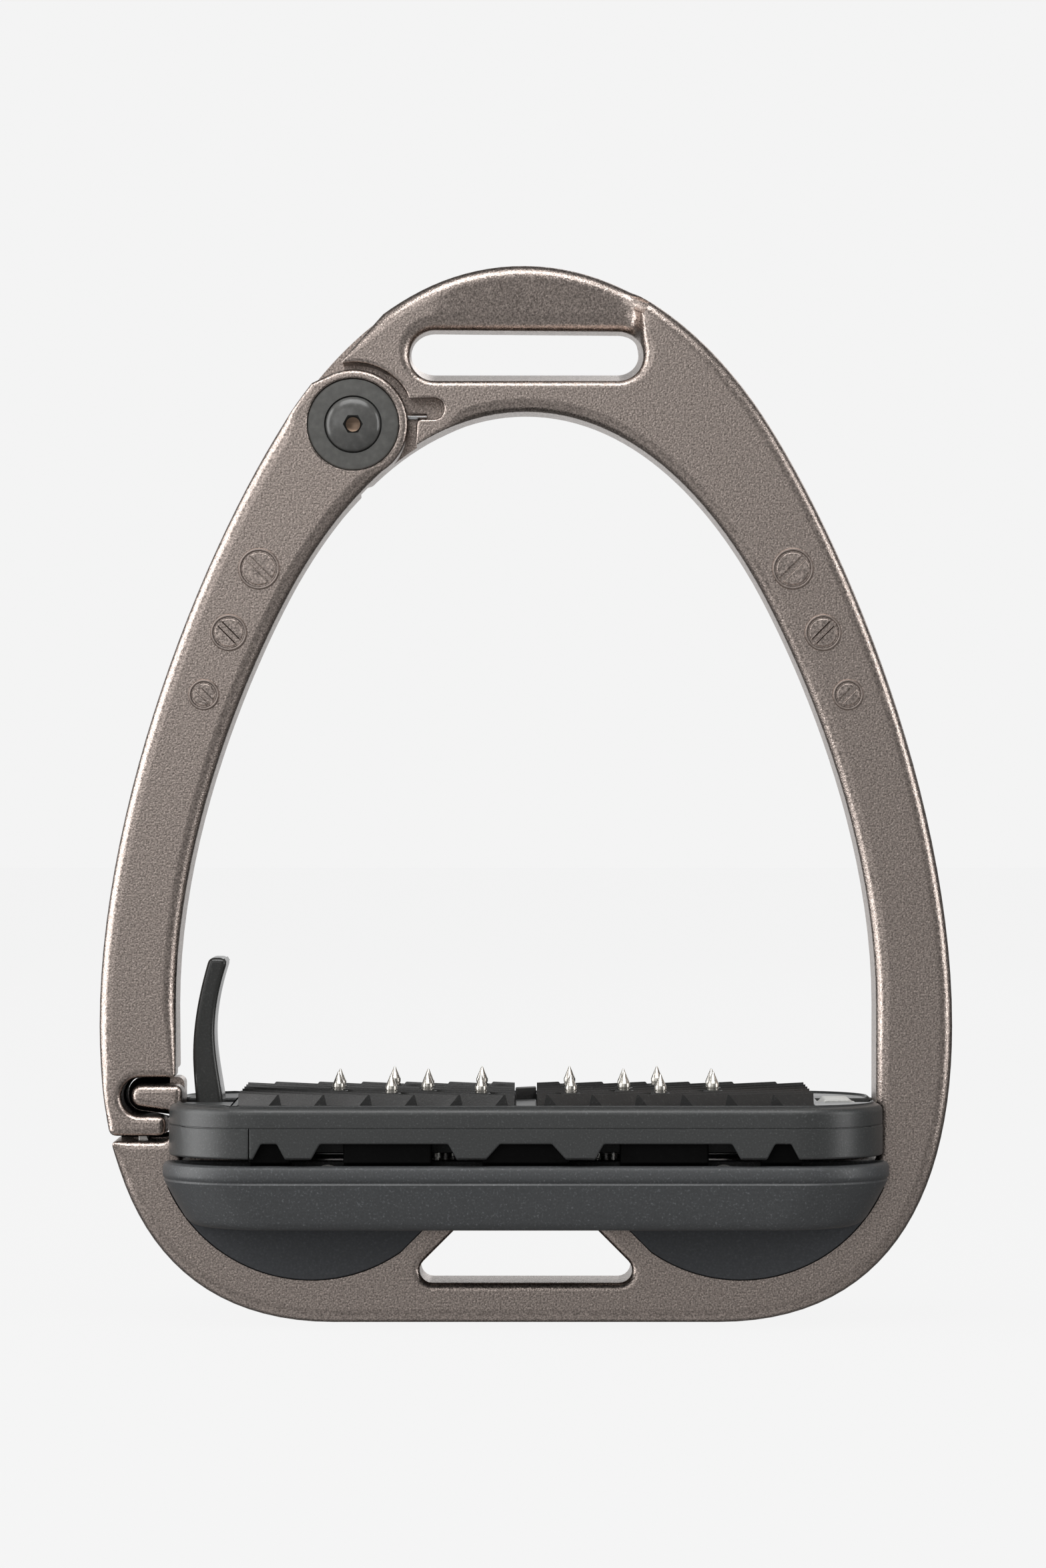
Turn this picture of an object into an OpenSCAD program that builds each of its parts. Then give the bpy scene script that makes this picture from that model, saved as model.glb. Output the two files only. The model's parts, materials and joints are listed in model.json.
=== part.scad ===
// Safety stirrup iron with a sprung footbed.
// The left branch is a separate arm: it hangs on a pivot at the crown and hooks round a tongue at
// the tread, so a trapped foot can swing it open. A release lever stands up through the tread.
// Millimetres. X runs across the foot opening, Y from front to back, Z up from the ground line.

/* [Iron] */
// Overall height of the iron
height = 182.5; // [181:0.5:186]
// Width across the outside of the branches
width = 147.2; // [146.4:0.2:149]
// Width of the foot opening at the tread
opening_w = 120.8; // [119.6:0.2:121.2]
// Height of the top of the arch inside the foot opening
arch_h = 157.1; // [156:0.1:157.6]
// Thickness of the branches from front to back
thick = 18; // [17:0.5:19]

/* [Eye for the leather] */
// Length of the slot for the stirrup leather
eye_l = 40; // [38:0.5:42]
// Height of that slot
eye_h = 8.8; // [8:0.2:9]
// Height of the middle of the slot above the ground line
eye_z = 166.8; // [166.4:0.1:167.2]
// How far the strap bar's face is set back at its deep end
bar_relief = 4; // [2:0.5:5]

/* [Pivot] */
// Distance of the pivot from the middle of the iron
pivot_x = -29.8; // [-30:0.1:-29.6]
// Height of the pivot
pivot_z = 154.9; // [154.7:0.1:155.1]
// Radius of the arm's round hub
hub_r = 9.5; // [9.3:0.1:9.6]
// Radius of the crown's rear ear
ear_r = 10.4; // [10.2:0.1:10.5]
// Radius of the black cap let into the hub
cap_r = 7.92; // [7.5:0.02:8]
// Radius of the bush that the arm turns on
bush_r = 4; // [3.8:0.1:4.2]
// Wire diameter of the arm's torsion spring
wire_d = 1.15; // [1:0.05:1.2]

/* [Footbed] */
// Height of the tread surface
tread_z = 38; // [37.6:0.1:38.4]
// Depth of the footbed from front to back
bed_d = 57; // [56:0.5:60]
// Half the length of the tread plate
plate_hl = 61.4; // [61:0.1:61.8]
// Half the length of the lower tray
tray_hl = 62.5; // [62:0.1:63]
// Travel of the tread plate on its elastomer pads
tread_travel = 1; // [0.5:0.1:1]
// Number of studs on each half of the tread
studs_per_half = 8; // [4, 8]

/* [Release lever] */
// Distance of the lever's pivot from the middle of the iron
lever_x = -54.5; // [-54.6:0.1:-54.4]
// Height of the lever's pivot
lever_z = 31.5; // [31.4:0.1:31.6]
// Height of the lever's tip
lever_top = 62.9; // [60:0.1:63]
// Width of the lever from front to back
lever_w = 13; // [11:0.5:13]

/* [Hidden] */
// Half thickness of the branches
ht = thick / 2;
// Half width outside and inside
ow = width / 2;
iw = opening_w / 2;
// Joint line between the front half and the rear half of the pivot
lap_gap = 0.3;
// How much larger the latch tongue and its hook are in the rear half
tongue_step = 1;
// Clearance of a running fit
fit = 0.06;
// Steps along each curve of an outline
steps = 20;
// Height of the split between the arm's foot and the lower frame
arm_foot_z = 32.2;
stub_z = 31.3;
// Crossbar under the tread
bar_top = 27.5;
bar_bottom = 19;
// Footbed levels
plate_bottom = tread_z - 8.75;
deck_bottom = tread_z - 3.5;
notch_top = tread_z - 6.1;
// Ribs under the deck, between the crossbar and the pads
rib_y = 13;
rib_hl = 49.5;
tray_top = 28.1;
tray_bottom = 17.1;
tray_wall = 2.2;
hd = bed_d / 2;
// Joint between the tread plate and the cover round the lever
seam_deck = -50.2;
seam_skirt = -47;
// Inner edge of the lever's slot in the tread, the same at both ends
slot_x = 50.6;
// Tread inserts
insert_x0 = 1.9;
insert_x1 = 49.2;
insert_hd = 24.2;
insert_t = 0.6;
ridge_h = 2.1;
ridge_pitch = 7.7;
// Studs
stud_r = 1.02;
stud_tip = tread_z + 5.2;
stud_cone = 2;
stud_rows = [[7.7, -15], [17, -5.5], [17, 5.5], [7.7, 15]];
stud_pitch = 15.35;
// Shoulder screws that hold the tread plate
shoulder_x = [-40, -14, 14, 40];
shoulder_r = 2;
// Screws that hold the trays to the crossbar
tray_screw_x = [-34, 34];
tray_screw_z = 25.2;
// How far out the pads' feet reach, along the bed's sides and near its round ends
pad_foot = hd - 4.1;
pad_foot_end = hd - 6.2;
// Half-moon cheek inserts
cheek_t = 2;

// ---- curves and outlines -------------------------------------------------------------------

// Points of a cubic curve from a to d, without its last point
function curve(a, b, c, d, n = steps) =
    [for (i = [0:n - 1]) let (t = i / n, s = 1 - t)
        a * s * s * s + 3 * b * s * s * t + 3 * c * s * t * t + d * t * t * t];

function mirror_x(pts) = [for (i = [len(pts) - 1:-1:0]) [-pts[i].x, pts[i].y]];

function unit(v) = v / norm(v);

// Closed outline with corners [x, y, radius], each radius drawn as an arc
function rounded(p, n = 6) =
    [for (i = [0:len(p) - 1])
        let (
            b = [p[i].x, p[i].y],
            before = p[(i + len(p) - 1) % len(p)],
            after = p[(i + 1) % len(p)],
            u = unit([before.x, before.y] - b),
            v = unit([after.x, after.y] - b),
            r = p[i][2],
            half = acos(u * v) / 2,
            c = b + unit(u + v) * r / sin(half),
            s0 = b + u * r / tan(half) - c,
            s1 = b + v * r / tan(half) - c,
            a0 = atan2(s0.y, s0.x),
            turn = (atan2(s1.y, s1.x) - a0 + 540) % 360 - 180
        )
        each r == 0 ? [b] : [for (k = [0:n]) c + r * [cos(a0 + turn * k / n), sin(a0 + turn * k / n)]]];

// Right half of the outside, from the top of the crown to the middle of the base
shoulder = [41.5, height - 26.9];
shoulder_dir = [cos(57.3), -sin(57.3)];
heel_z = 51.2;
base_x = 33.2;
outer_half = concat(
    curve([0, height], [19.2, height], shoulder - 15.3 * shoulder_dir, shoulder),
    curve(shoulder, shoulder + 26.1 * shoulder_dir, [ow, heel_z + 38.2], [ow, heel_z]),
    curve([ow, heel_z], [ow, heel_z - 30.4], [base_x + 28.6, 0], [base_x, 0]),
    [[base_x, 0]]
);

// Right half of the foot opening, from the top of the arch to the crossbar
haunch = [39.5, arch_h - 28.9];
haunch_dir = [cos(60), -sin(60)];
knee_z = 54.5;
inner_half = concat(
    curve([0, arch_h], [15.6, arch_h], haunch - 20.5 * haunch_dir, haunch),
    curve(haunch, haunch + 3 * haunch_dir, [iw, knee_z + 36.8], [iw, knee_z]),
    [[iw, knee_z], [iw, bar_top]]
);

pivot = [pivot_x, pivot_z];

// An outline in the XZ plane given a thickness from y0 to y1
module slab(y0, y1) {
    translate([0, y1, 0]) rotate([90, 0, 0]) linear_extrude(height = y1 - y0) children();
}

// A round bar along Y
module rod(x, z, r, y0, y1) {
    translate([x, y1, z]) rotate([90, 0, 0]) cylinder(r = r, h = y1 - y0, $fn = 64);
}

module iron_outline() {
    difference() {
        polygon(concat(outer_half, mirror_x(outer_half)));
        polygon(concat(inner_half, mirror_x(inner_half)));
    }
}

// What lies on one side of the pivot, towards the given angle, in the left half of the iron
module beyond_pivot(angle) {
    intersection() {
        translate(pivot) rotate(angle) translate([0, -150]) square([300, 300]);
        translate([-100, 0]) square([100, 200]);
    }
}

// Everything in the left half between the lower frame and the pivot
module left_branch_zone() {
    translate([-ow - 5, stub_z]) square([ow + 5 - 18.9, 155.8 - stub_z]);
}

module eye_slot() {
    for (s = [-1, 1]) translate([s * (eye_l - eye_h) / 2, eye_z]) circle(d = eye_h, $fn = 64);
    translate([-(eye_l - eye_h) / 2, eye_z - eye_h / 2]) square([eye_l - eye_h, eye_h]);
}

// Opening under the footbed, with sides that lean in at 45 degrees
module base_window() {
    polygon(rounded([[-21.4, 6.9, 2.2], [21.4, 6.9, 2.2], [9.3, bar_bottom, 1], [-9.3, bar_bottom, 1]]));
}

// Half-moon recess beside that opening, on the right: an arc round a point above it
module half_moon() {
    intersection() {
        translate([37, 34.4]) circle(r = 27.1, $fn = 128);
        polygon([[14.7, bar_bottom], [29, 4.7], [70, 4.7], [70, 23.5], [14.7, 23.5]]);
    }
}

// Post and tongue that the arm's hook closes round
module latch_tongue(more = 0) {
    polygon(rounded([
        [-59.3, 26, 0], [-59.3, 41 + more, 1.2], [-68 - more, 41 + more, 1.6 + more],
        [-68 - more, 37.5 - more, 1.6 + more], [-61.5, 36.5 - more, 0.4],
        [-61.5, 30.5, 0], [-63, 30, 0], [-63, 26, 0]
    ]));
}

// ---- frame: crown, right branch, base and crossbar in one casting ---------------------------

module frame_front_half() {
    difference() {
        iron_outline();
        left_branch_zone();
        intersection() {
            beyond_pivot(190);
            translate([-100, 100]) square([100, 100]);
        }
        translate(pivot) circle(r = hub_r + 1.2, $fn = 128);
        translate([pivot_x, 155.8]) square([-15.9 - pivot_x, 3.6]);
        translate([-15.9, 157.6]) circle(r = 1.8, $fn = 48);
    }
}

module frame_rear_half() {
    difference() {
        iron_outline();
        difference() {
            intersection() {
                beyond_pivot(208.5);
                translate([-100, stub_z]) square([100, 150]);
            }
            translate(pivot) circle(r = ear_r, $fn = 128);
        }
    }
}

// Wedges that set the strap bar's front face back on the right and its rear face on the left
module strap_bar_relief() {
    for (turn = [0, 180]) rotate(turn) translate([0, 0, eye_z]) linear_extrude(height = 30)
        polygon([[-15, -ht - 1], [18, -ht - 1], [18, bar_relief - ht], [-15, -ht]]);
}

module frame() {
    color("dimgray") difference() {
        union() {
            difference() {
                union() {
                    slab(-ht, 0) frame_front_half();
                    slab(0, ht) frame_rear_half();
                }
                slab(-ht - 1, ht + 1) eye_slot();
                slab(-ht - 1, ht + 1) base_window();
                for (side = [-1, 1]) for (end = [0, 1]) mirror([end, 0, 0])
                    slab(side > 0 ? ht - cheek_t : -ht - 1, side > 0 ? ht + 1 : cheek_t - ht) half_moon();
            }
            slab(-ht, 0) latch_tongue();
            slab(0, ht) latch_tongue(tongue_step);
            // Lugs that hold the lever's pin
            for (y = [-ht, 7]) translate([lever_x - 3.4, y, bar_top - 1]) cube([6.8, ht - 7, 6.9]);
        }
        strap_bar_relief();
        // Seat of the bush and its flange
        rod(pivot_x, pivot_z, bush_r, -1, ht + 1);
        rod(pivot_x, pivot_z, 6.05, 7, ht + 1);
        // Groove for the catch blade, through the post
        translate([-68.4, -4.4, 28.1]) cube([10.6, 8.8, 4.4]);
        // Holes for the lever's pin, the shoulder screws and the tray screws
        rod(lever_x, lever_z, 1.2, -ht - 1, ht + 1);
        for (x = shoulder_x) translate([x, 0, bar_top - 6.5]) cylinder(r = 1.6, h = 8, $fn = 32);
        for (x = tray_screw_x) rod(x, tray_screw_z, 1.3, -ht - 1, ht + 1);
    }
}

// ---- side arm and its pivot ----------------------------------------------------------------

module arm_outline(more = 0) {
    difference() {
        iron_outline();
        translate([-100, -10]) square([200, arm_foot_z + 10]);
        // Hook: a slot with a round end, open towards the foot
        translate([-66.5, 39]) circle(r = 3.3 + more, $fn = 64);
        translate([-66.5, 35.7 - more]) square([10, 6.6 + 2 * more]);
        translate([-62.1, 30]) square([10, 12.3 + more]);
    }
}

module arm_front_half() {
    intersection() {
        arm_outline();
        beyond_pivot(240);
    }
    translate(pivot) circle(r = hub_r, $fn = 128);
}

module arm_rear_half() {
    difference() {
        intersection() {
            arm_outline(tongue_step);
            beyond_pivot(240);
            beyond_pivot(272);
        }
        translate(pivot) circle(r = ear_r + 0.4, $fn = 128);
    }
}

// Slice of a disc between two angles round the pivot
module pivot_sector(r, a0, a1) {
    translate(pivot) polygon(concat([[0, 0]], [for (k = [0:12]) let (a = a0 + (a1 - a0) * k / 12)
        r * [cos(a), sin(a)]]));
}

module side_arm() {
    color("gray") difference() {
        union() {
            slab(-ht, -lap_gap) arm_front_half();
            slab(-lap_gap, ht) arm_rear_half();
        }
        rod(pivot_x, pivot_z, bush_r + fit, -ht - 1, 1);
        rod(pivot_x, pivot_z, cap_r + 0.08, -ht - 1, -5.6);
        // Room for the spring's coil and for its two legs over the whole swing
        rod(pivot_x, pivot_z, 6.6, -4.6, 1);
        slab(-2.1, 1) pivot_sector(12, -2, 86);
        slab(-4.6, -2.7) pivot_sector(8.6, 194, 268);
    }
}

module pivot_sleeve() {
    color("silver") difference() {
        union() {
            rod(pivot_x, pivot_z, bush_r, -5.7, 8);
            rod(pivot_x, pivot_z, 6, 7, ht - 0.2);
        }
        rod(pivot_x, pivot_z, 2.5, -7, ht - 1.5);
    }
}

// Button head drawn as a dome on a short rim, with a hex socket
module pivot_screw() {
    head_r = 4.75;
    dome = [for (a = [0:10:60]) [head_r * cos(a * 1.05), 0.5 + 2.25 * sin(a * 1.5)]];
    color("black") translate([pivot_x, -7.1, pivot_z]) rotate([90, 0, 0]) difference() {
        union() {
            rotate_extrude($fn = 96) polygon(concat([[0, 0], [head_r, 0]], dome, [[0, 2.75]]));
            translate([0, 0, -12.4]) cylinder(r = 2.5, h = 12.4, $fn = 64);
        }
        translate([0, 0, 1]) cylinder(r = 1.75, h = 3, $fn = 6);
    }
}

module hub_cap() {
    color("black") difference() {
        rod(pivot_x, pivot_z, cap_r, -8.7, -5.7);
        rod(pivot_x, pivot_z, 2.6, -10, -5);
        rod(pivot_x, pivot_z, 4.95, -10, -7.1);
    }
}

module pivot_washer() {
    color("white") difference() {
        rod(pivot_x, pivot_z, 9, -0.25, 0);
        rod(pivot_x, pivot_z, bush_r, -1, 1);
    }
}

// Close-wound coil round an axis along Y: its turns are drawn as rings, from y upwards
module coil(x, z, r, d, y, turns) {
    translate([x, y, z]) rotate([-90, 0, 0]) rotate_extrude($fn = 64) {
        for (i = [0:turns - 1]) translate([r, i * d * 0.95]) circle(d = d, $fn = 24);
        translate([r - d * 0.3, 0]) square([d * 0.6, (turns - 1) * d * 0.95]);
    }
}

// Torsion spring of the arm, with one leg in the crown's pocket and one in the hub
module torsion_spring() {
    coil_r = 5.4;
    leg_y = -1.3;
    leg_z = 1.7;
    front_y = leg_y - 1.9 * wire_d;
    color("lightgray") {
        coil(pivot_x, pivot_z, coil_r, wire_d, front_y, 3);
        translate([pivot_x + sqrt(coil_r * coil_r - leg_z * leg_z), leg_y, pivot_z + leg_z])
            rotate([0, 90, 0]) cylinder(d = wire_d, h = 7.7, $fn = 32);
        translate([pivot_x, front_y, pivot_z]) rotate([0, 160, 0]) translate([coil_r, 0, 0])
            rotate([0, 90, 0]) cylinder(d = wire_d, h = 2.8, $fn = 32);
    }
}

// ---- release lever -------------------------------------------------------------------------

lever_left = concat(
    curve([-54.7, lever_top], [-56.5, 57], [-57.6, 51], [-57.5, 45.5]),
    curve([-57.5, 45.5], [-57.4, 42], [-57.1, 39.5], [-56.7, 36]),
    [[-56.7, 33]]
);
lever_right = concat(
    [[-52.2, 33]],
    curve([-52.2, 36], [-52.3, 40], [-53.8, 45], [-53.8, 50]),
    curve([-53.8, 50], [-53.8, 54], [-53, 58], [-51.6, lever_top - 0.8]),
    [[-52.1, lever_top]]
);

module release_lever() {
    color("black") difference() {
        union() {
            slab(-lever_w / 2, lever_w / 2) polygon(concat(lever_left, lever_right));
            rod(lever_x, lever_z, 3, -4.4, 4.4);
        }
        // Room for the springs beside the boss
        for (y = [-7, 4.4]) translate([lever_x - 5, y, 26]) cube([10, 2.6, 9.2]);
        rod(lever_x, lever_z, 1.2 + fit, -10, 10);
        slab(-4, 4) catch_outline();
    }
}

// Flat steel hook: its tail is moulded into the lever, its tooth reaches under the arm's foot
module catch_outline() {
    polygon([[-56.6, 29.9], [-67, 30.1], [-67, 32.05], [-65.6, 32.05], [-65.2, 31.1], [-56.2, 31.1]]);
}

module catch_blade() {
    color("silver") slab(-4, 4) catch_outline();
}

module lever_pin() {
    color("silver") rod(lever_x, lever_z, 1.2, -8.9, 8.9);
}

module lever_spring() {
    spring_wire = 0.5;
    color("lightgray") for (side = [-1, 1]) {
        start = side > 0 ? 4.9 : -6.33;
        coil(lever_x, lever_z, 1.9, spring_wire, start, 4);
        translate([lever_x + 1.4, start, lever_z - 1.3]) rotate([0, 90, 0])
            cylinder(d = spring_wire, h = 6.5, $fn = 24);
        translate([lever_x + 1.3, start, lever_z + 1.4]) cylinder(d = spring_wire, h = 1.6, $fn = 24);
    }
}

// ---- footbed: tread plate, end cover, inserts, studs ------------------------------------------

// Plan outline with straight sides and elliptical corners, half length hl and half depth d
function bed_plan(hl, d, ax = 16, ay = 18, n = 10) =
    [for (q = [0:3]) let (sx = (q == 0 || q == 3) ? 1 : -1, sy = q < 2 ? 1 : -1)
        each [for (k = [0:n]) let (a = 90 * (q + k / n))
            [sx * (hl - ax) + ax * cos(a), sy * (d - ay) + ay * sin(a)]]];

// Trapezoid cut in the tread plate's skirt between x0 and x1, narrower at its top by the two slopes
module skirt_notch(x0, x1, lean) {
    slab(-hd - 1, hd + 1) polygon([
        [x0, plate_bottom - 1], [x0, plate_bottom], [x0 + lean, notch_top],
        [x1 - lean, notch_top], [x1, plate_bottom], [x1, plate_bottom - 1]
    ]);
}

module bed_shell() {
    difference() {
        translate([0, 0, plate_bottom]) linear_extrude(height = tread_z - plate_bottom)
            polygon(bed_plan(plate_hl, hd));
        translate([0, 0, plate_bottom - 1]) linear_extrude(height = deck_bottom - plate_bottom + 1)
            polygon(bed_plan(plate_hl - 2, hd - 2, 14, 16));
        skirt_notch(-6.8, 6.8, 2.4);
        for (end = [0, 1]) mirror([end, 0, 0]) {
            skirt_notch(11.7, 36.4, 1.5);
            skirt_notch(40.8, 46.3, 1.4);
        }
        // Openings for the right branch, for the post and, at both ends, for a lever
        translate([iw - 0.4, -ht - 0.3, plate_bottom - 1]) cube([10, thick + 0.6, 20]);
        translate([-70, -ht - 0.3, plate_bottom - 1]) cube([70 - 58.9, thick + 0.6, 20]);
        for (end = [0, 1]) mirror([end, 0, 0])
            translate([slot_x, -lever_w / 2 - 0.5, plate_bottom - 1]) cube([10, lever_w + 1, 20]);
    }
}

// Light plug in the slot that the lever doesn't use, with a flange under the deck
module slot_plug() {
    w = lever_w + 0.2;
    color("lightgray") {
        translate([slot_x + 0.3, -w / 2, deck_bottom]) cube([6.2, w, 3]);
        translate([slot_x + 0.3, 0, 0]) rotate([90, 0, 0]) linear_extrude(height = w, center = true)
            polygon([[0, tread_z - 0.6], [6.2, tread_z - 0.6], [5, tread_z + 0.4], [0.8, tread_z + 0.4]]);
        translate([slot_x - 1.2, -w / 2 - 1.4, deck_bottom - 1.2]) cube([8, w + 2.8, 1.2]);
    }
}

// The end of the bed that belongs to the lever's cover
module cover_zone(gap) {
    translate([-80, -40, 20]) cube([80 + seam_deck + gap, 80, 30]);
    for (y = [-40, hd - 3 - gap]) translate([-80, y, 20])
        cube([80 + seam_skirt + gap, 43 - hd + gap, 30]);
}

module tread_plate() {
    color("dimgray") difference() {
        union() {
            bed_shell();
            for (x = shoulder_x) translate([x, 0, deck_bottom - 3]) cylinder(r = 4.6, h = 3.2, $fn = 48);
            // Two ribs along the deck's underside, between the crossbar and the pads
            for (side = [-1, 1]) translate([-rib_hl, side * rib_y - 1, plate_bottom + 0.35])
                cube([2 * rib_hl, 2, deck_bottom - plate_bottom]);
        }
        cover_zone(0.1);
        for (end = [0, 1]) mirror([end, 0, 0]) insert_bed(0.02);
        for (x = shoulder_x) {
            translate([x, 0, 25]) cylinder(r = shoulder_r + fit, h = 20, $fn = 48);
            translate([x, 0, deck_bottom + 0.7]) cylinder(r = 3.6, h = 5, $fn = 48);
        }
    }
}

module lever_end_cover() {
    color("dimgray") intersection() {
        bed_shell();
        cover_zone(0);
    }
}

// Thin base of one tread insert
module insert_bed(gap) {
    translate([insert_x0 - gap, -insert_hd - gap, tread_z - insert_t])
        cube([insert_x1 - insert_x0 + 2 * gap, 2 * insert_hd + 2 * gap, insert_t + 1]);
}

// Right-hand insert: saw-tooth ridges that run back and outwards at 45 degrees
module tread_insert() {
    reach = insert_x1 - insert_x0;
    first = -round(2 * insert_hd / ridge_pitch);
    last = ceil(reach / ridge_pitch);
    translate([insert_x0, -insert_hd, tread_z - insert_t]) cube([reach, 2 * insert_hd, insert_t]);
    intersection() {
        translate([insert_x0, -insert_hd, tread_z - insert_t])
            cube([reach, 2 * insert_hd, insert_t + ridge_h]);
        for (i = [first:last]) translate([insert_x0 + 1 + i * ridge_pitch, -insert_hd, tread_z - 0.1])
            rotate([0, 0, -45]) translate([0, 90, 0]) rotate([90, 0, 0]) linear_extrude(height = 100)
                polygon([[0, 0], [0.35, ridge_h], [0.5, ridge_h], [1.75, 0]]);
    }
    for (p = stud_places()) translate([p.x, p.y, tread_z - 0.3])
        cylinder(r = stud_r + 0.75, h = ridge_h + 0.2, $fn = 32);
}

function stud_places() = [for (row = stud_rows) each [for (k = [0:studs_per_half / 4 - 1])
    [row.x + k * stud_pitch, row.y]]];

module stud_holes() {
    for (p = stud_places()) translate([p.x, p.y, tread_z - 1]) cylinder(r = stud_r, h = 5, $fn = 32);
}

module tread_insert_right() {
    color("black") difference() {
        tread_insert();
        stud_holes();
    }
    // Short ridge that crosses the gap between the two inserts
    color("black") translate([0, 0, tread_z]) linear_extrude(height = ridge_h - 0.1)
        polygon([[-1.8, 1], [1.8, 4.6], [1.8, 9], [-1.8, 5.4]]);
}

module tread_insert_left() {
    color("black") mirror([1, 0, 0]) difference() {
        tread_insert();
        stud_holes();
    }
}

module studs_right() {
    base = tread_z - insert_t;
    color("silver") for (p = stud_places()) translate([p.x, p.y, 0]) {
        translate([0, 0, base]) cylinder(r = stud_r, h = stud_tip - stud_cone - base, $fn = 32);
        translate([0, 0, stud_tip - stud_cone]) cylinder(r1 = stud_r, r2 = 0.08, h = stud_cone, $fn = 32);
    }
}

module studs_left() {
    mirror([1, 0, 0]) studs_right();
}

module shoulder_screws() {
    head_z = deck_bottom + 0.72;
    color("silver") for (x = shoulder_x) translate([x, 0, 0]) difference() {
        union() {
            translate([0, 0, bar_top - 6]) cylinder(r = 1.6, h = 6.1, $fn = 32);
            translate([0, 0, bar_top]) cylinder(r = shoulder_r, h = head_z - bar_top, $fn = 48);
            translate([0, 0, head_z]) cylinder(r = 3.4, h = 1, $fn = 48);
        }
        translate([0, 0, head_z - 0.6]) cylinder(r = 1.2, h = 3, $fn = 6);
    }
}

// ---- trays, pads and cheeks ------------------------------------------------------------------

module tray_solid(inset) {
    top_hl = tray_hl - inset;
    bottom_hl = tray_hl - 4.6 - inset;
    hull() {
        translate([0, 0, tray_top - 3 + (inset > 0 ? 4 : 0)]) linear_extrude(height = 3)
            polygon(bed_plan(top_hl, hd - inset, 16, 18));
        translate([0, 0, tray_bottom + inset]) linear_extrude(height = 0.4)
            polygon(bed_plan(bottom_hl, hd - 1.4 - inset, 16, 18));
    }
}

module tray_half() {
    difference() {
        tray_solid(0);
        difference() {
            tray_solid(tray_wall);
            translate([-70, -ht - 2, 0]) cube([140, thick + 4, 60]);
        }
        translate([-70, -ht, 0]) cube([140, 60, 60]);
        for (x = tray_screw_x) rod(x, tray_screw_z, 1.4, -13, 0);
    }
}

module tray_front() {
    color("darkslategray") tray_half();
}

module tray_rear() {
    color("darkslategray") mirror([0, 1, 0]) tray_half();
}

module tray_screws() {
    color("silver") for (x = tray_screw_x) for (side = [0, 1]) mirror([0, side, 0]) {
        rod(x, tray_screw_z, 1.25, -ht - 2, -1);
        rod(x, tray_screw_z, 2.3, -ht - 3.4, -ht - 2);
    }
}

// Elastomer pad between the tray's floor and the tread plate. Above the tray's rim it reaches out to
// the plate's skirt; its foot reaches the given depth, inside the tray's wall
module pad(x0, x1, side, foot_y) {
    heel_y = hd - 10.2;
    head_y = hd - 2.4;
    floor_z = tray_bottom + tray_wall + 0.4;
    step_z = tray_top + 0.3;
    top_z = deck_bottom - 0.05;
    color("black") mirror([0, side > 0 ? 0 : 1, 0]) translate([x0, 0, 0]) rotate([90, 0, 90])
        linear_extrude(height = x1 - x0) polygon([
            [heel_y, floor_z], [foot_y, floor_z], [foot_y, step_z],
            [head_y, step_z], [head_y, top_z], [heel_y, top_z]
        ]);
}

module cheek(end, side) {
    color("darkslategray") mirror([end, 0, 0])
        slab(side > 0 ? ht - cheek_t : -ht + 0.1, side > 0 ? ht - 0.1 : cheek_t - ht) half_moon();
}

frame();
side_arm();
pivot_sleeve();
pivot_screw();
hub_cap();
pivot_washer();
torsion_spring();
release_lever();
catch_blade();
lever_pin();
lever_spring();
tread_plate();
lever_end_cover();
slot_plug();
tread_insert_left();
tread_insert_right();
studs_left();
studs_right();
shoulder_screws();
tray_front();
tray_rear();
tray_screws();
pad(-7.4, 7.4, -1, pad_foot);  // pad_centre_front
pad(-7.4, 7.4, 1, pad_foot);  // pad_centre_rear
pad(-31, -16, -1, pad_foot);  // pad_inner_left_front
pad(16, 31, -1, pad_foot);  // pad_inner_right_front
pad(-31, -16, 1, pad_foot);  // pad_inner_left_rear
pad(16, 31, 1, pad_foot);  // pad_inner_right_rear
pad(-47, -40, -1, pad_foot_end);  // pad_outer_left_front
pad(40, 47, -1, pad_foot_end);  // pad_outer_right_front
pad(-47, -40, 1, pad_foot_end);  // pad_outer_left_rear
pad(40, 47, 1, pad_foot_end);  // pad_outer_right_rear
cheek(1, -1);  // cheek_left_front
cheek(0, -1);  // cheek_right_front
cheek(1, 1);  // cheek_left_rear
cheek(0, 1);  // cheek_right_rear
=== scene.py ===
import json
import math

import bmesh
import bpy
from mathutils import Matrix, Vector
from mathutils.geometry import delaunay_2d_cdt


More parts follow.
